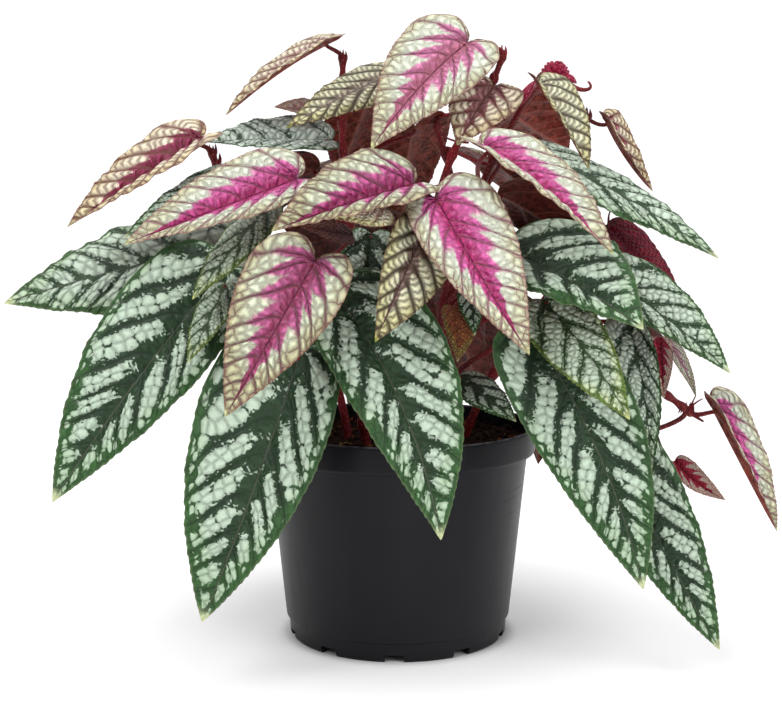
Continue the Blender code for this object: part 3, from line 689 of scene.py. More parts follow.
        under = point + square * (lift * self.under_lift - thick)[..., None]
        faces, slots, on_left = closed_sheet(len(edge), self.columns)
        points = np.concatenate([top.reshape(-1, 3), under.reshape(-1, 3)])
        obj = link_mesh(leaf.name + "_blade", points, faces, slots)
        pick = faces % v.size
        flat = np.stack([(across * half).ravel()[pick], (along * midrib.length).ravel()[pick]], -1)
        add_uv(obj.data, "flat", flat)
        veins = np.where(on_left[:, None], left.ravel()[pick] + self.left_count,
                         right.ravel()[pick] + self.right_count)
        size, slope = leaf.width / BASE_WIDTH_MM, style.rise * midrib.length / (leaf.width / 2)
        run_mm = self.vein_run(out_mm, along * midrib.length, slope) / size
        add_uv(obj.data, "cells", np.stack([veins, run_mm.ravel()[pick]], -1))
        fields = {"rib": abs(v), "rib_mm": out_mm / size, "edge_mm": edge_mm / size, "along": along,
                  "seed": np.full(v.shape, leaf.seed % self.seeds), "pink": np.full(v.shape, leaf.pink)}
        for name, values in fields.items():
            add_field(obj.data, name, np.tile(values.ravel(), 2))
        weld(obj.data, self.weld_mm)
        obj.data.shade_smooth()
        obj.data.set_sharp_from_angle(angle=math.radians(self.crease))
        return obj


def closed_sheet(rows: int, columns: int) -> tuple[np.ndarray, np.ndarray, np.ndarray]:
    """Lists the faces of a sheet with an upper and an under grid of vertices and a rim between them.

    Args:
        rows: Rows of each grid.
        columns: Columns of each grid, an odd number.

    Returns:
        The corners of each face, its slot (1 for the underside) and whether it lies left of the middle.
    """
    index = np.arange(rows * columns).reshape(rows, columns)
    top = np.stack([index[:-1, :-1], index[:-1, 1:], index[1:, 1:], index[1:, :-1]], -1).reshape(-1, 4)
    under = top[:, ::-1] + rows * columns
    loop = np.concatenate([index[0, :-1], index[:-1, -1], index[-1, :0:-1], index[:0:-1, 0]])
    after = np.roll(loop, -1)
    rim = np.stack([after, loop, loop + rows * columns, after + rows * columns], -1)
    faces = np.concatenate([top, under, rim])
    slots = np.zeros(len(faces))
    slots[len(top):2 * len(top)] = 1
    column = (faces % columns).min(axis=1)
    return faces, slots, column < columns // 2


class Wire:
    """A number that runs through a shader; arithmetic on it adds the nodes that work it out."""

    def __init__(self, sheet: Sheet, socket: Socket) -> None:
        """Holds an output socket of the sheet's."""
        self.sheet, self.socket = sheet, socket

    def __add__(self, other: Wire | float) -> Wire:
        """The sum."""
        return self.sheet.math("ADD", self, other)

    def __sub__(self, other: Wire | float) -> Wire:
        """The difference."""
        return self.sheet.math("SUBTRACT", self, other)

    def __rsub__(self, other: float) -> Wire:
        """The difference from a number."""
        return self.sheet.math("SUBTRACT", other, self)

    def __mul__(self, other: Wire | float) -> Wire:
        """The product."""
        return self.sheet.math("MULTIPLY", self, other)

    def __truediv__(self, other: Wire | float) -> Wire:
        """The quotient."""
        return self.sheet.math("DIVIDE", self, other)

    __radd__, __rmul__ = __add__, __mul__

    def between(self) -> Wire:
        """How far from a whole number: 0 on one and 1 halfway to the next."""
        return 1.0 - self.sheet.math("ABSOLUTE", self.sheet.math("FRACT", self) * 2.0 - 1.0)

    def rise(self, low: Wire | float, high: Wire | float) -> Wire:
        """Rises smoothly from 0 at low to 1 at high."""
        node = self.sheet.node("ShaderNodeMapRange", interpolation_type="SMOOTHSTEP")
        for place, value in enumerate((self, low, high)):
            self.sheet.feed(node.inputs[place], value)
        return Wire(self.sheet, node.outputs[0])

    def fall(self, low: Wire | float, high: Wire | float) -> Wire:
        """Falls smoothly from 1 at low to 0 at high."""
        return 1.0 - self.rise(low, high)


class Sheet:
    """The node sheet of one material, with short ways to add the nodes that the finishes use."""

    def __init__(self, name: str) -> None:
        """Makes an empty material."""
        self.material = bpy.data.materials.new(name)
        self.material.use_nodes = True
        self.tree = self.material.node_tree
        self.tree.nodes.clear()

    def node(self, kind: str, **settings: object) -> bpy.types.Node:
        """Adds a node and sets its properties."""
        made = self.tree.nodes.new(kind)
        for name, value in settings.items():
            setattr(made, name, value)
        return made

    def feed(self, socket: Socket, value: Wire | Socket | tuple | float) -> None:
        """Links a wire or an output to an input, or writes a plain value there."""
        if isinstance(value, Wire):
            value = value.socket
        if isinstance(value, Socket):
            self.tree.links.new(value, socket)
        elif isinstance(value, tuple):
            socket.default_value = (*value, 1.0) if len(socket.default_value) == 4 else value
        else:
            socket.default_value = value

    def math(self, operation: str, *values: Wire | float) -> Wire:
        """Adds one step of arithmetic."""
        made = self.node("ShaderNodeMath", operation=operation)
        for place, value in enumerate(values):
            self.feed(made.inputs[place], value)
        return Wire(self, made.outputs[0])

    def field(self, name: str) -> Wire:
        """Reads a number that the mesh holds for each vertex."""
        return Wire(self, self.node("ShaderNodeAttribute", attribute_name=name).outputs["Fac"])

    def uv(self, name: str) -> Socket:
        """Reads a UV map."""
        return self.node("ShaderNodeUVMap", uv_map=name).outputs[0]

    def split(self, vector: Socket) -> tuple[Wire, Wire, Wire]:
        """Takes a vector apart."""
        made = self.node("ShaderNodeSeparateXYZ")
        self.feed(made.inputs[0], vector)
        return tuple(Wire(self, output) for output in made.outputs)

    def vector(self, x: Wire | float, y: Wire | float, z: Wire | float = 0.0) -> Socket:
        """Puts a vector together."""
        made = self.node("ShaderNodeCombineXYZ")
        for socket, value in zip(made.inputs, (x, y, z)):
            self.feed(socket, value)
        return made.outputs[0]

    def noise(self, vector: Socket, scale: float, detail: float) -> Wire:
        """Adds soft noise about 0.5."""
        made = self.node("ShaderNodeTexNoise")
        self.feed(made.inputs["Vector"], vector)
        made.inputs["Scale"].default_value = scale
        made.inputs["Detail"].default_value = detail
        return Wire(self, made.outputs[0])

    def cells(self, vector: Socket, jitter: float, edges: bool) -> bpy.types.Node:
        """Adds a flat cell pattern of scale 1: the distance to cell edges, or each cell's centre and colour."""
        made = self.node("ShaderNodeTexVoronoi", voronoi_dimensions="2D",
                         feature="DISTANCE_TO_EDGE" if edges else "F1")
        self.feed(made.inputs["Vector"], vector)
        made.inputs["Scale"].default_value = 1.0
        made.inputs["Randomness"].default_value = jitter
        return made

    def mix(self, factor: Wire | float, first: Socket | Colour, second: Socket | Colour) -> Socket:
        """Mixes two colours."""
        made = self.node("ShaderNodeMix", data_type="RGBA", clamp_factor=True)
        self.feed(made.inputs[0], factor)
        self.feed(made.inputs[6], first)
        self.feed(made.inputs[7], second)
        return made.outputs[2]

    def bump(self, height: Wire, depth_mm: float) -> Socket:
        """Turns a height of 0 to 1 into a tilt of the surface."""
        made = self.node("ShaderNodeBump")
        made.inputs["Strength"].default_value = 1.0
        made.inputs["Distance"].default_value = depth_mm * MM
        self.feed(made.inputs["Height"], height)
        return made.outputs[0]

    def finish(self, colour: Socket | Colour, roughness: Wire | float, normal: Socket | None = None,
               **constants: float | tuple) -> bpy.types.Material:
        """Adds the surface itself.

        Args:
            colour: The base colour.
            roughness: The roughness.
            normal: The tilt of the surface.
            constants: Plain values for other inputs, named with underscores.

        Returns:
            The material.
        """
        surface = self.node("ShaderNodeBsdfPrincipled")
        self.feed(surface.inputs["Base Color"], colour)
        self.feed(surface.inputs["Roughness"], roughness)
        if normal is not None:
            self.feed(surface.inputs["Normal"], normal)
        for name, value in constants.items():
            self.feed(surface.inputs[name.replace("_", " ")], value)
        out = self.node("ShaderNodeOutputMaterial")
        self.tree.links.new(surface.outputs[0], out.inputs[0])
        return self.material


class BladeSheet(Sheet):
    """The node sheet of a blade's upper side, with the fields, noises and cells that its pattern is made of.

    Rib is the way out from the midrib, 0 to 1, and edge the way in from the margin, in millimetres. Between is
    0 on a side vein and 1 halfway to the next, and between_cell is the same at the middle of the cell. The
    noises swing about 0: ragged, broad, grain and lobes differ in scale, and streak is drawn out across the
    veins. Line is the way to the cell's edge and middle_way the way to its middle. Tone and chance are random
    in each cell.
    """

    def __init__(self, name: str, finish: LeafFinish) -> None:
        """Adds the nodes that every pattern reads.

        Args:
            name: Name of the material.
            finish: The finish, which says how the cells lie.
        """
        super().__init__(name)
        self.rib, self.rib_mm, self.edge = (self.field(key) for key in ("rib", "rib_mm", "edge_mm"))
        self.along, seed, self.pink = (self.field(key) for key in ("along", "seed", "pink"))
        flat_x, flat_y, _ = self.split(self.uv("flat"))
        phase, run, _ = self.split(self.uv("cells"))
        place = self.vector(flat_x, flat_y, seed * NOISE_SEED_STEP)
        self.ragged, self.broad, self.grain, self.lobes = (
            self.noise(place, scale, detail) - 0.5 for scale, detail in BLADE_NOISES)
        squeeze_out, squeeze_on = STREAK_SQUEEZE
        streak_place = self.vector(phase * squeeze_out, run * squeeze_on, seed)
        self.streak = self.noise(streak_place, 1.0, STREAK_DETAIL) - 0.5
        self.between = phase.between()
        shift = finish.jitter / 2 + finish.cell_shift
        row = phase * finish.cells_per_vein + shift + self.ragged * CELL_RAGGED[0]
        step = (run / finish.cell_mm - self.between * finish.bow + seed * CELL_SEED_STEP
                + self.ragged * CELL_RAGGED[1])
        spot = self.vector(row, step)
        self.line = Wire(self, self.cells(spot, finish.jitter, edges=True).outputs["Distance"])
        centres = self.cells(spot, finish.jitter, edges=False)
        self.middle_way = Wire(self, centres.outputs["Distance"])
        self.tone, self.chance, _ = self.split(centres.outputs["Color"])
        centre, _, _ = self.split(centres.outputs["Position"])
        self.between_cell = ((centre - shift) / finish.cells_per_vein).between()


@dataclass(frozen=True)
class LeafFinish:
    """The upper side of a blade.

    On a silver blade cells lie three to a vein space: one row on each side vein and two rows between, which
    the pale blocks fill. On a pink blade two rows of scales, bowed towards the margin, lie between two veins.
    Ground lies under the blocks and shows between them. Heart is the band of pink or dark colour along the
    midrib, which pale wedges between the veins break into fingers. Starts and reaches are shares of the way
    out from the midrib to the margin, and lengths are millimetres in a blade of the width BASE_WIDTH_MM. A
    span is the pair of values between which something fades in or out.
    """

    block: Colour
    block_far: Colour
    net: Colour
    rib: Colour
    margin: Colour
    tip: Colour
    ground: Colour = BLACK
    ground_far: Colour = BLACK
    heart: Colour = BLACK
    heart_far: Colour = BLACK
    shadow: Colour = BLACK
    heart_reach: float = 0.0
    finger_reach: float = 0.0
    heart_end: float = 0.86
    heart_end_soft: float = 0.09
    soft: float = 0.14
    start: float = 0.06
    full: float = 0.45
    band: float = 0.24
    band_soft: float = 0.14
    block_span: Span = (0.6, 0.76)
    chain_mm: float = 3.4
    chain_span_mm: Span = (1.0, 1.5)
    chain_chance: Span = (0.5, 0.55)
    chain_span: Span = (0.44, 0.5)
    inner_span: Span = (0.66, 0.72)
    far_mm: float = 7.0
    net_width: float = 0.05
    net_soft: Span = (0.4, 1.6)
    net_strength: float = 1.0
    inner_net: float = 0.12
    inner_net_span_mm: Span = (1.0, 7.0)
    vein_strength: float = 0.6
    vein_span: Span = (0.02, 0.09)
    vein_shade: float = 0.24
    shade_reach: float = 0.32
    midrib_strength: float = 0.85
    midrib_span_mm: Span = (0.12, 0.36)
    margin_mm: float = 0.5
    margin_strength: float = 0.6
    margin_soft: float = 0.0
    tip_span: Span = (0.94, 0.992)
    cell_mm: float = 3.6
    cells_per_vein: float = 3.0
    cell_shift: float = 0.0
    jitter: float = CELL_JITTER
    bow: float = 0.0
    block_shade: float = 0.62
    relief_mm: float = 0.6
    swell_span: Span = (0.0, 0.42)
    rim_shade: float = 0.3
    roughness: float = 0.45

    def build(self, name: str) -> bpy.types.Material:
        """Builds the material.

        Args:
            name: Name of the material.

        Returns:
            The material, which reads the UV maps and the fields that Blade.build stores.
        """
        sheet = BladeSheet(name, self)
        side_vein = (sheet.between + sheet.ragged * 0.02).fall(*self.vein_span)
        side_vein = side_vein * sheet.rib.rise(0.0, 0.05) * sheet.edge.rise(0.2, 1.5)
        if self.heart_reach:
            heart = self.heart_mask(sheet)
            colour, net_strength = self.pink_pattern(sheet, heart)
            side_vein = side_vein * (heart * 0.5 + 0.5)
        else:
            colour, net_strength = self.silver_pattern(sheet)
        net = (sheet.line + sheet.grain * 0.03).fall(*(self.net_width * share for share in self.net_soft))
        middle = (sheet.rib_mm + sheet.ragged * 0.2).fall(*self.midrib_span_mm) * sheet.along.rise(-0.01, 0.02)
        colour = sheet.mix(net * net_strength, colour, self.net)
        colour = sheet.mix(side_vein * self.vein_strength, colour, self.net)
        colour = sheet.mix(middle * self.midrib_strength, colour, self.rib)
        colour = self.edged(sheet, colour)
        swell = sheet.line.rise(*self.swell_span) * (1.0 - middle) * sheet.between.rise(0.0, 0.25)
        shade = sheet.between.fall(0.0, self.shade_reach) * sheet.rib.rise(0.02, 0.2)
        colour = sheet.mix(shade * self.vein_shade, colour, self.shadow)
        colour = sheet.mix(swell.fall(0.0, 0.7) * self.rim_shade, colour, self.shadow)
        normal = sheet.bump(swell + sheet.grain * 0.12 + sheet.streak * 0.15, self.relief_mm)
        rough = self.roughness + sheet.tone * 0.06 + sheet.grain * 0.12
        return sheet.finish(colour, rough, normal, Specular_IOR_Level=0.3)

    def block_colour(self, sheet: BladeSheet, far: Wire) -> Socket:
        """Mixes the pale colour of the blocks, with darker streaks and spots.

        Args:
            sheet: The node sheet.
            far: How far the colour has turned to block_far.

        Returns:
            The colour.
        """
        shade = tuple(value * self.block_shade for value in self.block)
        block = sheet.mix(far + sheet.tone * 0.3 - 0.15, self.block, self.block_far)
        return sheet.mix(sheet.grain * 1.2 + sheet.streak * 0.9 + sheet.lobes * 0.6 + 0.3, block, shade)

    def far_share(self, sheet: BladeSheet) -> Wire:
        """Works out how far a place has the colour of the margin and the tip, 0 to 1."""
        far = sheet.edge.fall(1.0, self.far_mm) * 0.75 + sheet.along.rise(0.6, 1.0) * 0.5 + sheet.broad * 0.9
        return far.rise(0.05, 0.95)

    def silver_pattern(self, sheet: BladeSheet) -> tuple[Socket, Wire]:
        """Lays the silver blocks on the green ground.

        Args:
            sheet: The node sheet.

        Returns:
            The colour, and how strongly the net of cells shows on it.
        """
        far = self.far_share(sheet)
        ground = sheet.mix(far, self.ground, self.ground_far)
        ground = sheet.mix(sheet.tone * 0.3 + sheet.streak * 0.8, ground, BLACK)
        blocks = self.blocks(sheet)
        # Painted shade: each block fades a little towards the ground near the edge of its cell, as round a
        # swollen cell.
        shown = blocks * (sheet.line.rise(0.0, 0.25) * 0.24 + 0.76)
        return sheet.mix(shown, ground, self.block_colour(sheet, far)), 0.25 - blocks * 0.17

    def blocks(self, sheet: BladeSheet) -> Wire:
        """Works out where the silver blocks lie.

        A cell is silver where its middle lies between two veins. The band starts as a feathered point, widens
        to its full width and ends short of the margin. A chain of single spots runs along the margin.

        Args:
            sheet: The node sheet.

        Returns:
            The mask.
        """
        rib, edge, between, lobes = sheet.rib, sheet.edge, sheet.between, sheet.lobes
        chosen = between * 0.65 + sheet.between_cell * 0.35 + sheet.streak * 0.2 + lobes * 0.9
        chosen = chosen.rise(self.band, self.band + self.band_soft)
        needed = 1.0 - (rib + sheet.chance * 0.1 - 0.05).rise(self.start, self.full)
        taper = (between + sheet.streak * 0.8 + lobes).rise(needed - 0.04, needed + 0.12)
        block = (sheet.middle_way + lobes * 0.5).fall(*self.block_span)
        inner = (edge + lobes * 1.6 + sheet.chance * 1.4).rise(self.chain_mm, self.chain_mm + 0.5)
        inner = sheet.math("MAXIMUM", inner, (rib + lobes * 0.1).fall(*self.inner_span))
        chain = (edge + lobes * 0.8).rise(*self.chain_span_mm)
        chain = chain * (sheet.chance + between * 0.3).rise(*self.chain_chance)
        chain = chain * (sheet.middle_way + lobes * 0.25).fall(*self.chain_span)
        return chosen * taper * block * inner + chain * (1.0 - inner) * (rib + sheet.tone * 0.3).rise(0.3, 0.4)

    def pink_pattern(self, sheet: BladeSheet, heart: Wire) -> tuple[Socket, Wire]:
        """Lays the heart on the pale blocks.

        Args:
            sheet: The node sheet.
            heart: Where the heart lies.

        Returns:
            The colour, and how strongly the net of cells shows on it.
        """
        outwards = (sheet.rib * 2.0 + sheet.grain * 0.8 + sheet.ragged * 1.2).rise(0.05, 0.85)
        hue = sheet.mix(outwards, self.heart, self.heart_far)
        hue = sheet.mix(sheet.streak.rise(0.0, 0.25) * 0.35, hue, self.heart)
        colour = sheet.mix(heart, self.block_colour(sheet, self.far_share(sheet)), hue)
        outer = (sheet.edge + sheet.ragged * 2.0).fall(*self.inner_net_span_mm)
        outer = outer * (1.0 - self.inner_net) + self.inner_net
        patches = (sheet.grain + sheet.ragged).rise(-0.3, 0.1) * 0.7 + 0.3
        return colour, outer * (1.0 - heart * 0.5) * self.net_strength * patches

    def heart_mask(self, sheet: BladeSheet) -> Wire:
        """Works out where the heart lies between the pale wedges.

        A wedge starts as a point between two veins and widens until it fills the vein space; nearer the tip it
        starts nearer the midrib.

        Args:
            sheet: The node sheet.

        Returns:
            The mask, as strong as the leaf is pink.
        """
        reach = sheet.along.fall(0.4, 0.98) * 0.85 + 0.15
        left = sheet.rib / reach + sheet.ragged * 0.12 - self.finger_reach
        left = left / (self.heart_reach - self.finger_reach)
        needed = sheet.math("POWER", sheet.math("MAXIMUM", left, 0.0), 1.3)
        shape = sheet.between * 0.8 + sheet.between_cell * 0.2 + sheet.streak * 0.6
        wedge = shape.rise(needed - self.soft * 0.6 - 0.05, needed + self.soft * 1.4 - 0.05)
        end = sheet.along.fall(self.heart_end, self.heart_end + self.heart_end_soft)
        return (1.0 - wedge) * end * sheet.pink

    def edged(self, sheet: BladeSheet, colour: Socket) -> Socket:
        """Adds the coloured line along the margin, the wider blush inside it and the tip.

        Args:
            sheet: The node sheet.
            colour: The colour so far.

        Returns:
            The colour.
        """
        if self.margin_soft:
            blush = (sheet.edge + sheet.ragged * 2.0).fall(0.4, self.margin_mm * 3.4)
            colour = sheet.mix(blush * self.margin_soft, colour, self.margin)
        line = (sheet.edge + sheet.ragged * 0.4).fall(self.margin_mm * 0.3, self.margin_mm)
        colour = sheet.mix(line * self.margin_strength, colour, self.margin)
        return sheet.mix((sheet.along + sheet.ragged * 0.03).rise(*self.tip_span), colour, self.tip)


@dataclass(frozen=True)
class UndersideFinish:
    """The underside of a blade: dull wine red, with paler raised veins."""

    colour: Colour
    deep: Colour
    vein: Colour
    cells_per_vein: float = 3.0
    cell_mm: float = 3.6
    line_span: Span = (0.02, 0.12)
    midrib_span_mm: Span = (0.3, 1.0)
    relief_mm: float = 0.3
    roughness: float = 0.55

    def build(self, name: str) -> bpy.types.Material:
        """Builds the material.

        Args:
            name: Name of the material.

        Returns:
            The material.
        """
        sheet = Sheet(name)
        rib_mm, edge_mm, seed = (sheet.field(key) for key in ("rib_mm", "edge_mm", "seed"))
        flat_x, flat_y, _ = sheet.split(sheet.uv("flat"))
        phase, run, _ = sheet.split(sheet.uv("cells"))
        ragged = sheet.noise(sheet.vector(flat_x, flat_y, seed * NOISE_SEED_STEP), 0.35, 3.0) - 0.5
        spot = sheet.vector(phase * self.cells_per_vein + CELL_JITTER / 2,
                            run / self.cell_mm + seed * CELL_SEED_STEP)
        line = Wire(sheet, sheet.cells(spot, CELL_JITTER, edges=True).outputs["Distance"])
        side_vein = phase.between().fall(*self.line_span) * edge_mm.rise(0.5, 4.0)
        middle = rib_mm.fall(*self.midrib_span_mm)
        colour = sheet.mix((ragged * 2.2 + 0.45), self.colour, self.deep)
        for mask, strength in ((line.fall(*self.line_span), 0.18), (side_vein, 0.7), (middle, 0.8)):
            colour = sheet.mix(mask * strength, colour, self.vein)
        normal = sheet.bump(line.fall(0.0, 0.3) * 0.6 + side_vein + middle, self.relief_mm)
        return sheet.finish(colour, self.roughness + ragged * 0.2, normal, Specular_IOR_Level=0.2)


@dataclass(frozen=True)
class StemFinish:
    """Stems and stalks: dark red, browner in patches, with fine ribs along them and small pale warts."""

    colour: Colour = srgb(156, 26, 40)
    patch: Colour = srgb(74, 10, 14)
    wart: Colour = srgb(196, 92, 76)
    ribs: int = 7
    warts_round: float = 5.0
    warts_per_mm: float = 0.45
    wart_span: Span = (0.08, 0.2)
    relief_mm: float = 0.12
    roughness: float = 0.4

    def build(self, name: str) -> bpy.types.Material:
        """Builds the material.

        Args:
            name: Name of the material.

        Returns:
            The material, which reads the UV map "run" (turns round, millimetres along).
        """
        sheet = Sheet(name)
        place = sheet.node("ShaderNodeTexCoord").outputs["Object"]
        turns, along, _ = sheet.split(sheet.uv("run"))
        patch = sheet.noise(place, 60.0, 3.0)
        fine = sheet.noise(place, 900.0, 2.0)
        ribs = sheet.math("SINE", turns * (2 * math.pi * self.ribs) + patch * 2.0) * 0.5 + 0.5
        spot = sheet.vector(turns * self.warts_round, along * self.warts_per_mm)
        warts = Wire(sheet, sheet.cells(spot, 1.0, edges=False).outputs["Distance"]).fall(*self.wart_span)
        colour = sheet.mix((patch - 0.3) * 1.6, self.patch, self.colour)
        colour = sheet.mix(ribs * 0.25, colour, self.patch)
        colour = sheet.mix(warts * 0.6, colour, self.wart)
        normal = sheet.bump(ribs * 0.6 + warts + fine * 0.4, self.relief_mm)
        return sheet.finish(colour, fine * 0.2 + self.roughness, normal, Specular_IOR_Level=0.3)


@dataclass(frozen=True)
class PotFinish:
    """Moulded black plastic: satin, a little greyer where it is rubbed, with faint streaks and scratches."""

    colour: Colour = (0.0058, 0.0058, 0.0078)
    rubbed: Colour = (0.02, 0.02, 0.024)
    # The next three values lay a painted highlight along the top of the lip: its colour, where it is full and
    # how soft its lower edge is.
    lip: Colour = (0.11, 0.11, 0.12)
    lip_highlight_m: float = 0.0922
    lip_highlight_soft_m: float = 0.0006
    edge_span: Span = (0.52, 0.6)
    scratch_span: Span = (0.62, 0.72)
    bands_span: Span = (0.38, 0.64)
    relief_mm: float = 0.03
    roughness: float = 0.4

    def build(self, name: str) -> bpy.types.Material:
        """Builds the material.

        Args:
            name: Name of the material.

        Returns:
            The material.
        """
        sheet = Sheet(name)
        place = sheet.node("ShaderNodeTexCoord").outputs["Object"]
        x, y, z = sheet.split(place)
        streak = sheet.noise(sheet.vector(x * 40.0, y * 40.0, z * 3.0), 8.0, 3.0)
        scratch = sheet.noise(sheet.vector(x * 20.0, y * 20.0, z * 700.0), 1.0, 2.0).rise(*self.scratch_span)
        bands = sheet.noise(sheet.vector(x * 30.0, y * 30.0), 1.0, 1.0).rise(*self.bands_span)
        fine, broad = sheet.noise(place, 1400.0, 2.0), sheet.noise(place, 22.0, 3.0)
        edge = Wire(sheet, sheet.node("ShaderNodeNewGeometry").outputs["Pointiness"]).rise(*self.edge_span)
        wear = broad.rise(0.35, 0.8) * 0.15 + bands * 0.3 + edge * 0.12 + scratch * 0.1
        colour = sheet.mix(wear, self.colour, self.rubbed)
        # Painted highlight: a light line along the top of the lip, broken up by the streaks.
        lip = z.rise(self.lip_highlight_m - self.lip_highlight_soft_m, self.lip_highlight_m) * streak.rise(0.2, 0.7)
        colour = sheet.mix(lip, colour, self.lip)
        rough = (streak * 0.12 + fine * 0.1) + (self.roughness - 0.1) + scratch * 0.08
        normal = sheet.bump(fine * 0.5 + streak * 0.5, self.relief_mm)
        return sheet.finish(colour, rough, normal, Specular_IOR_Level=0.17)


@dataclass(frozen=True)
class GritFinish:
    """Loose matter of one tone that varies from crumb to crumb: soil, bark or fibre."""

    dark: Colour
    light: Colour
    grain: float = 1500.0
    clods: float = 0.125
    relief_mm: float = 0.5
    roughness: float = 0.95

    def build(self, name: str) -> bpy.types.Material:
        """Builds the material.

        Args:
            name: Name of the material.

        Returns:
            The material.
        """
        sheet = Sheet(name)
        place = sheet.node("ShaderNodeTexCoord").outputs["Object"]
        clod = sheet.noise(place, self.grain * self.clods, 3.0)
        fine = sheet.noise(place, self.grain, 3.0)
        colour = sheet.mix((clod * 0.6 + fine * 0.8 - 0.25).rise(0.1, 0.9), self.dark, self.light)
        normal = sheet.bump(fine + clod, self.relief_mm)
        return sheet.finish(colour, self.roughness, normal, Specular_IOR_Level=0.2)


@dataclass(frozen=True)
class PaperFinish:
    """The matt paper of the studio, lit a little from behind, with a painted shadow round where the pot stands
    on it.
    """

    colour: Colour = (0.84, 0.84, 0.845)
    glow: float = 0.3
    contact_shadow_span_m: Span = (0.046, 0.054)
    roughness: float = 0.9

    def build(self, name: str) -> bpy.types.Material:
        """Builds the material."""
        sheet = Sheet(name)
        x, y, _ = sheet.split(sheet.node("ShaderNodeTexCoord").outputs["Object"])
        # Painted contact shadow: the glow fades out within a few millimetres round the pot's foot.
        glow = sheet.math("SQRT", x * x + y * y).rise(*self.contact_shadow_span_m) * self.glow
        return sheet.finish(self.colour, self.roughness, Specular_IOR_Level=0.0, Emission_Color=self.colour,
                            Emission_Strength=glow)


SILVER = LeafFinish(
    ground=srgb(44, 70, 44), ground_far=srgb(58, 100, 50), block=srgb(206, 226, 204),
    block_far=srgb(184, 210, 174), net=srgb(26, 52, 26), rib=srgb(84, 88, 74), margin=srgb(104, 124, 82),
    tip=srgb(220, 230, 176), rim_shade=0.2)
BROAD = replace(
    SILVER, ground=srgb(62, 90, 62), ground_far=srgb(62, 100, 50), block=srgb(210, 228, 208),
    block_far=srgb(192, 216, 180), band=0.12, start=-0.1, full=0.28, chain_mm=1.8, cell_mm=4.2, net_width=0.08,
    rim_shade=0.32)
PINK = LeafFinish(
    block=srgb(246, 254, 232), block_far=srgb(224, 222, 178), net=srgb(104, 46, 44), rib=srgb(92, 22, 60),
    margin=srgb(156, 100, 90), tip=srgb(228, 230, 166), heart=srgb(180, 50, 112), heart_far=srgb(230, 112, 180),
    shadow=srgb(76, 32, 40), heart_reach=0.24, finger_reach=0.8, far_mm=9.0, vein_strength=0.85,
    vein_shade=0.42, margin_mm=0.6, margin_soft=0.3, cell_mm=4.4, cells_per_vein=2.0, cell_shift=0.5, bow=0.4,
    relief_mm=1.2, roughness=0.42)
BROWN_NET = replace(
    PINK, block=srgb(252, 238, 212), block_far=srgb(234, 216, 164), net=srgb(76, 28, 22),
    margin=srgb(130, 74, 62), heart=srgb(124, 22, 62), heart_far=srgb(170, 70, 108), shadow=srgb(92, 40, 28),
    finger_reach=0.68, heart_end=0.94, margin_soft=0.4, net_strength=0.9, vein_strength=0.95,
    vein_shade=0.72, shade_reach=0.38, rim_shade=0.55, cell_mm=4.0, cells_per_vein=1.0, jitter=0.4, bow=0.5,
    inner_net=0.4)
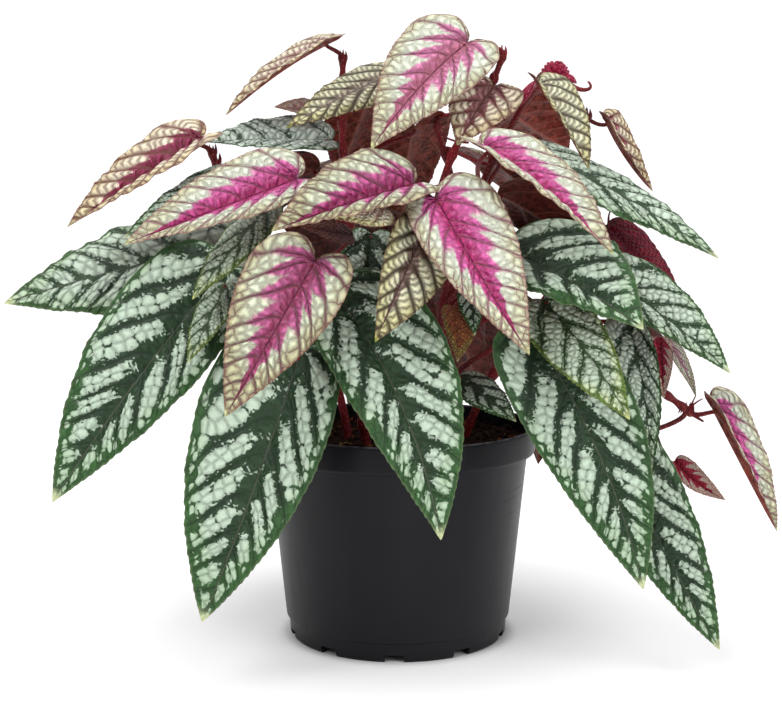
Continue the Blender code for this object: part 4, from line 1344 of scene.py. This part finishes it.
FINISHES = {
    LeafDress.SILVER: SILVER,
    LeafDress.BROAD: BROAD,
    LeafDress.FRESH: replace(
        BROAD, ground=srgb(78, 108, 66), ground_far=srgb(112, 142, 62), block=srgb(206, 224, 200),
        block_far=srgb(214, 228, 178), tip=srgb(226, 232, 150), margin=srgb(140, 148, 70), far_mm=5.0),
    LeafDress.BLUE: replace(
        BROAD, ground=srgb(84, 112, 92), block=srgb(216, 230, 216), block_far=srgb(218, 232, 216), band=0.05,
        start=-0.2, full=0.0, chain_mm=1.2, net_width=0.12),
    LeafDress.PINK: PINK,
    LeafDress.ROSE: replace(PINK, heart_reach=0.36, finger_reach=0.66, soft=0.26),
    # A darker copy of the pink dress for two leaves: partly their own duller, olive colour and partly painted
    # shade.
    LeafDress.DUSKY: replace(
        PINK, block=srgb(234, 242, 212), block_far=srgb(204, 198, 150), net=srgb(88, 40, 36),
        heart=srgb(156, 40, 96), heart_far=srgb(208, 98, 160), margin=srgb(150, 94, 80), heart_reach=0.28,
        finger_reach=0.76, soft=0.2, vein_shade=0.6, rim_shade=0.45),
    LeafDress.BROWN_NET: BROWN_NET,
    LeafDress.GREEN_NET: replace(
        BROWN_NET, block=srgb(240, 238, 204), block_far=srgb(220, 214, 148), net=srgb(56, 32, 18),
        shadow=srgb(50, 34, 16), heart=srgb(96, 40, 60), heart_far=srgb(140, 96, 100), margin=srgb(124, 92, 60),
        tip=srgb(212, 216, 96), heart_reach=0.14, finger_reach=0.5, vein_shade=0.85, shade_reach=0.5),
    # A paler copy of the pink dress: partly the leaf's own pale lime and partly painted light, for a leaf that
    # lies in shade.
    LeafDress.LIME: replace(
        PINK, block=srgb(255, 254, 228), block_far=srgb(252, 248, 170), net=srgb(150, 92, 60),
        heart=srgb(190, 90, 106), heart_far=srgb(226, 150, 140), margin_soft=0.1, vein_shade=0.05,
        rim_shade=0.1),
    LeafDress.ORANGE: replace(
        PINK, block=srgb(176, 104, 56), block_far=srgb(160, 160, 78), net=srgb(76, 14, 12),
        heart=srgb(100, 12, 18), heart_far=srgb(140, 40, 28), vein_strength=0.95, margin_soft=0.1),
    LeafDress.MAROON: replace(
        PINK, block=srgb(104, 50, 38), block_far=srgb(116, 62, 42), net=srgb(38, 8, 8), heart=srgb(58, 8, 12),
        heart_far=srgb(84, 24, 20), margin=srgb(96, 44, 36), tip=srgb(120, 70, 44)),
    LeafDress.RUBY: replace(
        PINK, block=srgb(255, 236, 220), block_far=srgb(255, 214, 190), net=srgb(150, 34, 46),
        heart=srgb(156, 16, 48), heart_far=srgb(204, 56, 84), finger_reach=1.0, margin_soft=0.15,
        vein_shade=0.1, rim_shade=0.12, inner_net=0.3),
    LeafDress.CRIMSON: replace(
        PINK, block=srgb(176, 40, 70), block_far=srgb(150, 22, 52), net=srgb(84, 6, 22), rib=srgb(84, 6, 22),
        heart=srgb(132, 12, 40), heart_far=srgb(160, 26, 56), margin=srgb(120, 14, 36), tip=srgb(120, 14, 36)),
}
UNDERSIDES = {
    LeafForm.YOUNG: UndersideFinish(srgb(150, 64, 50), srgb(44, 6, 8), srgb(164, 92, 74)),
    LeafForm.MATURE: UndersideFinish(srgb(104, 40, 32), srgb(30, 6, 6), srgb(124, 72, 58)),
    LeafForm.LEAFLET: UndersideFinish(srgb(140, 36, 40), srgb(74, 12, 16), srgb(160, 84, 74)),
}


def add_piece(obj: bpy.types.Object, node: str, materials: list[bpy.types.Material]) -> None:
    """Gives a piece its materials and ties it to the frame.

    Args:
        obj: The piece.
        node: The node of the frame that it takes the place of.
        materials: Its materials in slot order.
    """
    for material in materials:
        obj.data.materials.append(material)
    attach(obj, BODY)
    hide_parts(node)
    LOG.info("%s: %d faces", obj.name, len(obj.data.polygons))


@dataclass
class Foliage:
    """All the leaf blades."""

    leaves: tuple[Leaf, ...] = LEAVES
    materials: dict = field(default_factory=dict)

    def material(self, key: LeafDress | LeafForm) -> bpy.types.Material:
        """Finds or builds the upper finish of a dress, or the underside of a form.

        Args:
            key: The dress or the form.

        Returns:
            The material.
        """
        if key not in self.materials:
            finish = FINISHES[key] if isinstance(key, LeafDress) else UNDERSIDES[key]
            side = "top" if isinstance(key, LeafDress) else "under"
            self.materials[key] = finish.build(f"leaf_{key.value.replace(' ', '_')}_{side}")
        return self.materials[key]

    def build(self) -> None:
        """Builds each blade and dresses it."""
        for leaf in self.leaves:
            node = f"stem_{leaf.stem}" if leaf.form is LeafForm.LEAFLET else leaf.name
            slot = "mature_leaf" if leaf.form is LeafForm.MATURE else "young_leaf"
            add_piece(Blade(leaf).build(), node, [self.material(leaf.dress), self.material(leaf.form)])


def tube_mesh(points: np.ndarray, radii: np.ndarray, sides: int) -> tuple[np.ndarray, np.ndarray, np.ndarray]:
    """Works out a round bar along a line.

    Each ring stands square to the line, turned by carrying one direction along it; the ends are left open.

    Args:
        points: The line, in millimetres.
        radii: The radius at each point.
        sides: Corners of each ring.

    Returns:
        The vertices, the faces and the UV pairs (turns round, millimetres along) of the face corners.
    """
    along = unit(np.gradient(points, axis=0))
    spread = points - points.mean(axis=0)
    reference = np.linalg.svd(spread + 1e-6 * np.eye(3)[np.arange(len(points)) % 3])[2][2]
    first = unit(np.cross(along, reference))
    second = np.cross(along, first)
    turn = np.arange(sides) / sides * 2 * math.pi
    ring = first[:, None] * np.cos(turn)[:, None] + second[:, None] * np.sin(turn)[:, None]
    body = points[:, None] + ring * radii[:, None, None]
    rows = len(points)
    i, j = np.meshgrid(np.arange(rows - 1), np.arange(sides), indexing="ij")
    quads = np.stack([i * sides + j, i * sides + (j + 1) % sides,
                      (i + 1) * sides + (j + 1) % sides, (i + 1) * sides + j], -1).reshape(-1, 4)
    length = run_along(points)
    uv = np.stack([np.stack([j, j + 1, j + 1, j], -1) / sides,
                   np.stack([length[i], length[i], length[i + 1], length[i + 1]], -1)], -1).reshape(-1, 4, 2)
    return body.reshape(-1, 3), quads, uv


@dataclass
class Bars:
    """Round bars gathered into one mesh."""

    name: str
    vertices: list = field(default_factory=list)
    faces: list = field(default_factory=list)
    uvs: list = field(default_factory=list)
    count: int = 0
    cap_radii: Point = (0.02, 0.6, 0.9)

    def add(self, points: np.ndarray, radii: np.ndarray, sides: int) -> None:
        """Adds a bar whose ends close in a dome.

        Args:
            points: Its line.
            radii: Its radii.
            sides: Corners of each ring.
        """
        start, end = unit(points[0] - points[1]), unit(points[-1] - points[-2])
        caps = np.array(self.cap_radii)
        reach = np.sqrt(1 - caps**2)[:, None]
        points = np.concatenate([points[0] + start * radii[0] * reach, points,
                                 points[-1] + end * radii[-1] * reach[::-1]])
        radii = np.concatenate([radii[0] * caps, radii, radii[-1] * caps[::-1]])
        vertices, faces, uv = tube_mesh(points, radii, sides)
        ends = np.stack([points[0], points[-1]])
        last = len(vertices) - sides
        turn = np.arange(sides)
        fans = np.concatenate([
            np.stack([np.full(sides, len(vertices)), (turn + 1) % sides, turn, turn], -1),
            np.stack([np.full(sides, len(vertices) + 1), last + turn, last + (turn + 1) % sides,
                      last + (turn + 1) % sides], -1)])
        self.vertices.append(np.concatenate([vertices, ends]))
        self.faces.append(np.concatenate([faces, fans]) + self.count)
        self.uvs.append(np.concatenate([uv, np.zeros((2 * sides, 4, 2))]))
        self.count += len(vertices) + 2

    def build(self) -> bpy.types.Object:
        """Makes one mesh object of the bars.

        Returns:
            The object, shaded smooth.
        """
        faces = np.concatenate(self.faces)
        mesh = bpy.data.meshes.new(self.name)
        rows = [tuple(dict.fromkeys(face)) for face in faces.tolist()]
        mesh.from_pydata((np.concatenate(self.vertices) * MM).tolist(), [], rows)
        keep = np.concatenate([(faces[:, 1:] != faces[:, :-1]), np.ones((len(faces), 1), bool)], axis=1)
        add_uv(mesh, "run", np.concatenate(self.uvs)[keep])
        mesh.shade_smooth()
        return link(self.name, mesh)


@dataclass
class Stems:
    """The stems with their leaf stalks, the swellings where these leave, stipules, buds and tendrils."""

    root_depth_mm: float = 72.0
    soil_exit_mm: float = 90.0
    top_radius_mm: float = 1.2
    stalk_radii_mm: tuple[float, float] = (1.15, 0.85)
    stalk_foot: float = 0.03
    stalk_sunk_mm: float = 0.3
    stalk_bend: float = 0.35
    stalk_bend_mm: float = 14.0
    foot_mm: float = 0.5
    foot_share: float = 0.08
    rings: int = 90
    sides: int = 14
    knot_mm: float = 0.75
    knot_half_mm: float = 2.2
    bare_knots_mm: Span = (46.0, 31.0)
    tendril_end: float = 0.45
    bracts: int = 5
    bract_mm: float = 4.2
    bract_radii_mm: tuple[float, ...] = (0.6, 0.85, 0.9, 0.85, 0.7, 0.5, 0.3, 0.1)
    stipule_mm: Span = (3.2, 2.4)
    stipule_radii_mm: tuple[float, ...] = (0.7, 0.75, 0.62, 0.45, 0.26, 0.1)

    def line(self, number: int, shares: np.ndarray) -> np.ndarray:
        """Works out points of a stem, whose first span stands upright in the soil.

        Args:
            number: The stem.
            shares: Shares of its run.

        Returns:
            The points.
        """
        (x, y), _, above = STEMS[number]
        return spline_through(((x, y, self.root_depth_mm), (x, y, self.soil_exit_mm)) + above, shares)

    def stalk(self, leaf: Leaf, shares: np.ndarray) -> np.ndarray:
        """Works out points of a leaf's stalk, which leaves its stem along it and bends into the blade's foot.

        Args:
            leaf: The leaf.
            shares: Shares of the stalk.

        Returns:
            The points.
        """
        before, start = self.line(leaf.stem, np.array([max(leaf.share - 0.02, 0), leaf.share]))
        lean = unit(start - before)
        midrib = Midrib(leaf)
        foot, direction, normal = (part[0] for part in midrib.at(np.array([self.stalk_foot])))
        arrival = unit(0.55 * direction + 0.85 * normal)
        end = foot - normal * self.stalk_sunk_mm
        bend = self.stalk_bend * float(np.linalg.norm(end - start))
        return bezier((start, start + lean * bend, end - arrival * min(bend, self.stalk_bend_mm), end), shares)

    def knots(self, run_mm: np.ndarray, places_mm: np.ndarray) -> np.ndarray:
        """Works out how much the swellings add to a stem's radius, a bell curve at each place."""
        bells = np.exp(-((run_mm[:, None] - places_mm[None]) / self.knot_half_mm) ** 2)
        return self.knot_mm * bells.max(axis=1, initial=0.0)

    def build(self, finish: bpy.types.Material) -> None:
        """Builds each stem with what grows on it.

        Args:
            finish: The material of the stems.
        """
        for number, (_, radius, above) in STEMS.items():
            bars = Bars(f"stem_{number}_bark")
            leaves = [leaf for leaf in LEAVES if leaf.stem == number]
            shares = np.linspace(0, 1, self.rings)
            points = self.line(number, shares)
            run = run_along(points)
            places = np.interp([leaf.share for leaf in leaves], shares, run)
            first, step = self.bare_knots_mm
            radii = np.linspace(radius, self.top_radius_mm, len(points))
            radii = radii + self.knots(run, np.concatenate([places, np.arange(first, run[-1], step)]))
            bars.add(points, radii, self.sides)
            for leaf in leaves:
                self.add_stalk(bars, leaf)
            for place in CROWNS.get(number, ()):
                self.add_crown(bars, np.array(place))
            for *arc, size in TENDRILS.get(number, ()):
                bars.add(bezier(arc, np.linspace(0, 1, 16)), np.linspace(size, size * self.tendril_end, 16), 8)
            add_piece(bars.build(), f"stem_{number}", [finish])

    def add_crown(self, bars: Bars, place: np.ndarray) -> None:
        """Adds a crown of small pointed bracts that stand up round a node, each an arc that bends inwards.

        Args:
            bars: The bars of the stem.
            place: The middle of the node.
        """
        for number in range(self.bracts):
            turn = number * 2 * math.pi / self.bracts + place[0]
            out = np.array((math.cos(turn), math.sin(turn), 0.0))
            up = np.array((0.0, 0.0, self.bract_mm * (0.8 + 0.4 * (number * GOLDEN_SHARE % 1))))
            bends = place + out * 1.7, place + out * 1.9 + up * 0.6
            shares = np.linspace(0, 1, len(self.bract_radii_mm))
            arc = bezier((place - up * 0.3, *bends, place + out * 1.2 + up), shares)
            bars.add(arc, np.array(self.bract_radii_mm), 7)

    def add_stalk(self, bars: Bars, leaf: Leaf) -> None:
        """Adds a leaf's stalk with a swollen foot and a pair of pointed stipules beside it.

        Args:
            bars: The bars of its stem.
            leaf: The leaf.
        """
        shares = np.linspace(0, 1, 22)
        line = self.stalk(leaf, shares)
        size = 0.7 if leaf.form is LeafForm.LEAFLET else 1.0
        radii = np.linspace(*self.stalk_radii_mm, len(line)) * size
        radii = radii + self.foot_mm * size * np.exp(-((shares / self.foot_share) ** 2))
        bars.add(line, radii, 10)
        out = unit(line[6] - line[0])
        side = unit(np.cross(out, (0.0, 0.0, 1.0) if abs(out[2]) < 0.9 else (1.0, 0.0, 0.0)))
        ahead, aside = self.stipule_mm
        for way in (-1, 1):
            tip = line[0] + out * ahead * size + side * way * aside * size
            arc = bezier((line[0], line[0] + side * way * 1.6, tip - out, tip),
                         np.linspace(0, 1, len(self.stipule_radii_mm)))
            bars.add(arc, np.array(self.stipule_radii_mm) * size, 6)


@dataclass
class Bud:
    """The cluster of young buds and folded leaves at the top of one stem."""

    stem: int = 4
    middle: Point = (66.6, -2.4, 242.6)
    reach_mm: tuple[float, float, float] = (4.6, 3.4, 4.0)
    count: int = 40
    bud_mm: Span = (3.0, 1.3)
    bud_swell: tuple[float, ...] = (0.5, 0.8, 0.95, 1.0, 0.97, 0.85, 0.6)
    covered: float = 1.5
    sunk: float = 0.55
    folded_bow: Point = (0.0, -1.6, 1.2)
    folded: tuple = (((49.5, -1.0, 230.0), (61.0, -3.0, 240.5), 1.7),
                     ((52.0, -3.0, 229.5), (57.0, -4.0, 237.0), 1.5),
                     ((66.0, -4.0, 240.0), (74.0, -5.0, 235.6), 2.4),
                     ((68.0, -2.0, 241.0), (75.4, -3.0, 239.0), 1.9))

    def build(self, finish: bpy.types.Material) -> None:
        """Sets the buds on an egg shape, each pointing away from its middle, and lays the folded leaves below.

        Args:
            finish: The material.
        """
        bars, middle = Bars("bud_cluster"), np.array(self.middle)
        swell, bow = np.array(self.bud_swell), np.array(self.folded_bow)
        length, radius = self.bud_mm
        for number in range(self.count):
            rise = 1 - self.covered * (number + 0.5) / self.count
            turn = number * math.pi * (3 - math.sqrt(5))
            flat = math.sqrt(1 - rise * rise)
            way = np.array((flat * math.cos(turn), flat * math.sin(turn), rise))
            start = middle + way * np.array(self.reach_mm) * self.sunk
            points = start + way * np.linspace(0, length, len(swell))[:, None]
            bars.add(points, swell * radius * (0.8 + 0.35 * (number * GOLDEN_SHARE % 1)), 9)
        for start, end, thickest in self.folded:
            first, last = np.array(start), np.array(end)
            bends = first * 0.6 + last * 0.4 + bow, first * 0.3 + last * 0.7 + bow
            points = bezier((first, *bends, last), np.linspace(0, 1, 12))
            bars.add(points, thickest * np.sin(np.linspace(0.25, 2.9, 12)), 10)
        add_piece(bars.build(), f"stem_{self.stem}", [finish])


@dataclass
class Pot:
    """The nursery pot: a tapering wall with a collar and lip on a notched foot ring."""

    segments: int = 160
    height_mm: float = 92.6
    rim_mm: float = 60.0
    collar_mm: float = 12.0
    wall_mm: float = 1.5
    lip_mm: float = 0.4
    shoulder_mm: float = 3.4
    foot_mm: float = 47.6
    foot_height_mm: float = 8.0
    step_mm: float = 1.6
    ring_mm: float = 3.4
    fillet_mm: float = 1.2
    under_mm: float = 4.0
    floor_mm: float = 5.4
    pad_mm: float = 14.0
    notches: int = 10
    notch_mm: tuple[float, float, float] = (8.0, 12.0, 6.4)
    notch_turn: float = -2.0
    holes: int = 5
    hole_radius_mm: float = 4.0
    hole_circle_mm: float = 28.0
    hole_depth_mm: float = 4.0
    round_mm: float = 0.35
    crease: float = 40.0

    def profile(self) -> np.ndarray:
        """Lists (radius, height) points from the middle of the floor over the lip to the middle of the base.

        Returns:
            The points in millimetres.
        """
        collar, lip, wall = self.height_mm - self.collar_mm, self.lip_mm, self.wall_mm
        rim, top, foot, step = self.rim_mm, self.height_mm, self.foot_mm, self.foot_height_mm
        inner, shoulder = rim - wall, rim - self.shoulder_mm
        wall_foot, ring = foot + self.step_mm, foot - self.ring_mm
        return np.array([
            (0, self.floor_mm), (foot - wall, self.floor_mm), (foot - self.fillet_mm, step),
            (wall_foot - wall, step + wall), (shoulder - wall, collar - 2 * lip),
            (inner - lip, collar + wall), (inner, collar + 2 * wall), (inner, top - wall),
            (inner + lip, top - lip / 2), (rim - lip, top), (rim, top - self.fillet_mm), (rim, collar + wall),
            (rim - lip, collar + lip), (rim - wall, collar), (shoulder, collar - lip / 2),
            (wall_foot, step + 2 * lip), (wall_foot - self.fillet_mm, step), (foot, self.fillet_mm),
            (foot - 2 * lip, 0), (ring, 0), (ring, self.under_mm), (self.pad_mm, self.under_mm),
            (self.pad_mm, 0), (0, 0)], float)

    def cutters(self) -> bpy.types.Object:
        """Builds the shapes of the notches and the drain holes in one mesh.

        Returns:
            The object that the pot is cut with.
        """
        work = bmesh.new()
        for number in range(self.notches):
            turn = Matrix.Rotation(math.radians(self.notch_turn + 360 / self.notches * number), 4, "Z")
            move = Matrix.Translation((0, -self.foot_mm * MM, 0))
            size = Matrix.Diagonal((*(value * MM for value in self.notch_mm), 1))
            bmesh.ops.create_cube(work, size=1.0, matrix=turn @ move @ size)
        for number in range(self.holes):
            turn = math.radians(self.notch_turn + 360 / self.holes * number)
            place = (self.hole_circle_mm * math.sin(turn) * MM, -self.hole_circle_mm * math.cos(turn) * MM,
                     (self.under_mm + self.floor_mm) / 2 * MM)
            radius = self.hole_radius_mm * MM
            bmesh.ops.create_cone(work, cap_ends=True, segments=28, radius1=radius, radius2=radius,
                                  depth=self.hole_depth_mm * MM, matrix=Matrix.Translation(place))
        mesh = bpy.data.meshes.new("pot_cutters")
        work.to_mesh(mesh)
        work.free()
        return link("pot_cutters", mesh)

    def build(self, finish: bpy.types.Material) -> None:
        """Turns the profile, cuts the notches and holes and dresses the pot.

        Args:
            finish: The plastic.
        """
        obj = lathe("pot_wall", rounded(self.profile(), self.round_mm), self.segments)
        cutters = self.cutters()
        boolean = obj.modifiers.new("Notches", "BOOLEAN")
        boolean.operation, boolean.object, boolean.solver = "DIFFERENCE", cutters, "EXACT"
        apply_modifiers(obj)
        bpy.data.objects.remove(cutters, do_unlink=True)
        obj.data.shade_smooth()
        obj.data.set_sharp_from_angle(angle=math.radians(self.crease))
        add_piece(obj, "pot", [finish])


def rounded(profile: np.ndarray, reach_mm: float) -> np.ndarray:
    """Puts three points in the place of each inner corner of a profile, on a small arc.

    Args:
        profile: The corners.
        reach_mm: How far from the corner the arc starts, at most two fifths of the shorter side.

    Returns:
        The points.
    """
    before, corner, after = profile[:-2], profile[1:-1], profile[2:]
    steps = [np.linalg.norm(other - corner, axis=1, keepdims=True) for other in (before, after)]
    reach = np.minimum(reach_mm, 0.4 * np.minimum(*steps))
    first = corner + (before - corner) / steps[0] * reach
    last = corner + (after - corner) / steps[1] * reach
    arcs = np.stack([first, (first + 2 * corner + last) / 4, last], 1).reshape(-1, 2)
    return np.concatenate([profile[:1], arcs, profile[-1:]])


def lathe(name: str, profile: np.ndarray, segments: int) -> bpy.types.Object:
    """Turns a profile whose two ends lie on the axis into a closed solid.

    Args:
        name: Name of the object.
        profile: (radius, height) points that run up the inside and down the outside.
        segments: Steps round.

    Returns:
        The object.
    """
    turn = np.arange(segments) / segments * 2 * math.pi
    radius, height = profile[1:-1].T
    ring = np.stack([radius[:, None] * np.cos(turn), radius[:, None] * np.sin(turn),
                     np.broadcast_to(height[:, None], (len(radius), segments))], -1).reshape(-1, 3)
    poles = [(0.0, 0.0, profile[0, 1]), (0.0, 0.0, profile[-1, 1])]
    i, j = np.meshgrid(np.arange(len(radius) - 1), np.arange(segments), indexing="ij")
    after = (j + 1) % segments
    quads = np.stack([i * segments + j, i * segments + after, (i + 1) * segments + after,
                      (i + 1) * segments + j], -1)
    k, ahead, last = np.arange(segments), (np.arange(segments) + 1) % segments, (len(radius) - 1) * segments
    faces = quads.reshape(-1, 4)[:, ::-1].tolist()
    faces += np.stack([np.full(segments, len(ring)), k, ahead], -1).tolist()
    faces += np.stack([np.full(segments, len(ring) + 1), last + ahead, last + k], -1).tolist()
    mesh = bpy.data.meshes.new(name)
    mesh.from_pydata((np.concatenate([ring, poles]) * MM).tolist(), [], faces)
    return link(name, mesh)


def apply_modifiers(obj: bpy.types.Object) -> None:
    """Puts the mesh that the modifiers give in the place of the object's own."""
    graph = bpy.context.evaluated_depsgraph_get()
    mesh = bpy.data.meshes.new_from_object(obj.evaluated_get(graph))
    obj.modifiers.clear()
    obj.data = mesh


@dataclass
class Soil:
    """The potting soil: a lumpy plug with crumbs, bark chips and fibres on its top."""

    top_mm: float = 85.6
    rim_mm: float = 57.5
    side_mm: tuple[Span, ...] = ((57.5, 83.6), (56.9, 82.1), (54.5, 79.8), (47.1, 9.9), (45.5, 8.0))
    floor_mm: float = 6.0
    floor_radius_mm: float = 45.1
    crumbs: int = 620
    chips: int = 110
    fibres: int = 46
    fibre_reach_mm: float = 50.0
    wall_reach_mm: float = 55.0

    def rise(self, x: np.ndarray, y: np.ndarray) -> np.ndarray:
        """Works out the height of the top, as broad waves with finer ones on them.

        Args:
            x: The places to the right, in millimetres.
            y: The places away from the viewer.

        Returns:
            The heights.
        """
        broad = 0.9 * np.sin(0.21 * x + 0.8) * np.cos(0.19 * y - 0.4) + 0.5 * np.sin(0.43 * x - 0.31 * y)
        lumps = 0.35 * np.sin(1.1 * x + 0.7 * y) * np.sin(0.9 * y - 0.5 * x)
        return self.top_mm + broad + (lumps + 0.2 * np.sin(2.3 * x) * np.sin(2.1 * y))

    def plug(self) -> bpy.types.Object:
        """Builds the plug, whose side follows the wall of the pot.

        Returns:
            The object.
        """
        radii = np.linspace(0, 1, 44)[1:] * self.rim_mm
        top = np.stack([radii, np.full(len(radii), self.top_mm)], -1)
        floor = [(self.floor_radius_mm, self.floor_mm), (0, self.floor_mm)]
        profile = np.concatenate([[(0, self.top_mm)], top, self.side_mm, floor])[::-1]
        obj = lathe("soil_plug", profile, 96)
        count = len(obj.data.vertices)
        flat = np.empty(count * 3, np.float32)
        obj.data.vertices.foreach_get("co", flat)
        points = flat.reshape(-1, 3) / MM
        lift = points[:, 2] > self.top_mm - 0.1
        points[lift, 2] = self.rise(points[lift, 0], points[lift, 1])
        obj.data.vertices.foreach_set("co", (points * MM).astype(np.float32).ravel())
        obj.data.update()
        obj.data.shade_smooth()
        return obj

    def scatter(self, name: str, count: int, size_mm: tuple[float, float], shape: tuple[float, float, float],
                seed: int) -> bpy.types.Object:
        """Strews many small rough lumps over the top in one mesh.

        Args:
            name: Name of the object.
            count: How many.
            size_mm: Their smallest and largest radius.
            shape: How far each is stretched along its own axes.
            seed: Seed of the draws.

        Returns:
            The object.
        """
        draw = np.random.default_rng(seed)
        work = bmesh.new()
        bmesh.ops.create_icosphere(work, subdivisions=1, radius=1.0)
        ball = np.array([vertex.co for vertex in work.verts])
        faces = np.array([[vertex.index for vertex in face.verts] for face in work.faces])
        work.free()
        radius = self.rim_mm * 0.97 * np.sqrt(draw.uniform(0, 1, count))
        turn = draw.uniform(0, 2 * math.pi, count)
        place = np.stack([radius * np.cos(turn), radius * np.sin(turn), np.zeros(count)], -1)
        size = draw.uniform(*size_mm, count)
        place[:, 2] = self.rise(place[:, 0], place[:, 1]) + size * shape[2] * 0.35
        rough = ball[None] * draw.uniform(0.7, 1.25, (count, len(ball), 1)) * np.array(shape)
        frames = np.linalg.qr(np.eye(3) + 0.35 * draw.normal(size=(count, 3, 3)))[0]
        frames *= np.where(np.linalg.det(frames) < 0, -1.0, 1.0)[:, None, None]
        spin = draw.uniform(0, 2 * math.pi, count)
        flat = np.zeros((count, 3, 3))
        flat[:, 0, 0] = flat[:, 1, 1] = np.cos(spin)
        flat[:, 1, 0] = np.sin(spin)
        flat[:, 0, 1] = -flat[:, 1, 0]
        flat[:, 2, 2] = 1
        points = np.einsum("nij,njk,nvk->nvi", flat, frames, rough) * size[:, None, None] + place[:, None]
        spread = faces[None] + (np.arange(count) * len(ball))[:, None, None]
        return link_mesh(name, points.reshape(-1, 3), spread.reshape(-1, 3))

    def fibre_bars(self, seed: int) -> bpy.types.Object:
        """Lays thin bent fibres on the top.

        Args:
            seed: Seed of the draws.

        Returns:
            The object.
        """
        draw = np.random.default_rng(seed)
        bars = Bars("soil_fibres")
        for _ in range(self.fibres):
            turn, radius = draw.uniform(0, 2 * math.pi), self.fibre_reach_mm * math.sqrt(draw.uniform(0, 1))
            length = draw.uniform(4, 11)
            way = draw.uniform(0, 2 * math.pi) + np.linspace(0, draw.uniform(-1.5, 1.5), 7)
            x = radius * math.cos(turn) + np.cumsum(np.cos(way)) * length / 7
            y = radius * math.sin(turn) + np.cumsum(np.sin(way)) * length / 7
            inside = np.minimum(1, self.wall_reach_mm / np.maximum(np.hypot(x, y), 1))
            x, y = x * inside, y * inside
            z = self.rise(x, y) + 0.5 + np.sin(np.linspace(0, math.pi, 7)) * draw.uniform(0.2, 1.4)
            bars.add(np.stack([x, y, z], -1), np.full(7, draw.uniform(0.12, 0.25)), 5)
        return bars.build()

    def build(self) -> None:
        """Builds the plug and what lies on it."""
        dark = GritFinish(srgb(14, 9, 7), srgb(58, 38, 26)).build("soil_dark")
        bark = GritFinish(srgb(66, 34, 16), srgb(168, 104, 52), 700.0).build("soil_bark")
        straw = GritFinish(srgb(110, 78, 44), srgb(196, 160, 104), 700.0).build("soil_straw")
        pieces = (
            (self.plug(), dark),
            (self.scatter("soil_crumbs", self.crumbs, (0.6, 2.0), (1.0, 0.9, 0.8), 3), dark),
            (self.scatter("soil_chips", self.chips, (0.8, 2.2), (1.5, 0.8, 0.35), 4), bark),
            (self.fibre_bars(5), straw))
        for obj, finish in pieces:
            add_piece(obj, "soil", [finish])


@dataclass
class Studio:
    """The pale floor that bends up into a backdrop, the lights and the camera."""

    air_strength: float = 0.3
    half_width_m: float = 3.0
    front_m: float = -2.5
    bend_m: float = 0.9
    bend_radius_m: float = 0.6
    top_m: float = 2.6

    def backdrop(self) -> bpy.types.Object:
        """Builds the floor and the backdrop as one sheet with a round bend.

        Returns:
            The object.
        """
        turn, radius = np.linspace(0, math.pi / 2, 24), self.bend_radius_m
        y = np.concatenate([[self.front_m], self.bend_m + radius * np.sin(turn), [self.bend_m + radius]])
        z = np.concatenate([[0.0], radius * (1 - np.cos(turn)), [self.top_m]])
        sides = (-self.half_width_m, self.half_width_m)
        rows = np.stack([np.stack([np.full(len(y), x), y, z], -1) for x in sides])
        i = np.arange(len(y) - 1)
        faces = np.stack([i, i + len(y), i + 1 + len(y), i + 1], -1)
        return link_mesh("studio_floor", rows.reshape(-1, 3) / MM, faces)

    def light(self, name: str, place: Point, size: Span, power: float, aim: Point) -> bpy.types.Object:
        """Adds a soft box.

        Args:
            name: Name of the light.
            place: Where it stands, in metres.
            size: Its two sides.
            power: Its power in watts.
            aim: The point that it faces.

        Returns:
            The light object.
        """
        data = bpy.data.lights.new(name, "AREA")
        data.shape, data.energy = "RECTANGLE", power
        data.size, data.size_y = size
        obj = link(name, data)
        obj.location = place
        obj.rotation_euler = (Vector(aim) - Vector(place)).to_track_quat("-Z", "Y").to_euler()
        return obj

    def camera(self) -> bpy.types.Object:
        """Adds the camera that stands and looks as the photograph's did.

        Returns:
            The camera object.
        """
        data = bpy.data.cameras.new("photo_camera")
        data.sensor_width = SENSOR_MM
        data.lens = FOCAL_PX * SENSOR_MM / PHOTO_WIDTH_PX
        data.clip_start, data.clip_end = 0.01, 20.0
        obj = link("photo_camera", data)
        obj.location = [value * MM for value in CAMERA_MM]
        obj.rotation_euler = (math.radians(90 - CAMERA_PITCH), 0.0, 0.0)
        bpy.context.scene.camera = obj
        return obj

    def build(self) -> None:
        """Builds the studio and sets how its light is shown."""
        floor = self.backdrop()
        floor.data.shade_smooth()
        floor.data.materials.append(PaperFinish().build("studio_paper"))
        lights = [self.light(*row) for row in LIGHTS]
        self.camera()
        world = bpy.data.worlds.new("studio_air")
        bpy.context.scene.world = world
        world.use_nodes = True
        air = world.node_tree.nodes["Background"]
        air.inputs["Color"].default_value = (1.0, 1.0, 1.0, 1.0)
        air.inputs["Strength"].default_value = self.air_strength
        bpy.context.scene.view_settings.view_transform = "Standard"


def main() -> None:
    """Builds the plant on its frame and the studio round it."""
    logging.basicConfig(level=logging.INFO, format="%(message)s")
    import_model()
    Foliage().build()
    Stems().build(StemFinish().build("stem_bark"))
    Bud().build(StemFinish(srgb(190, 32, 84), srgb(110, 8, 36), srgb(226, 130, 150)).build("bud_red"))
    Pot().build(PotFinish().build("pot_plastic"))
    Soil().build()
    Studio().build()


if __name__ == "__main__":
    main()
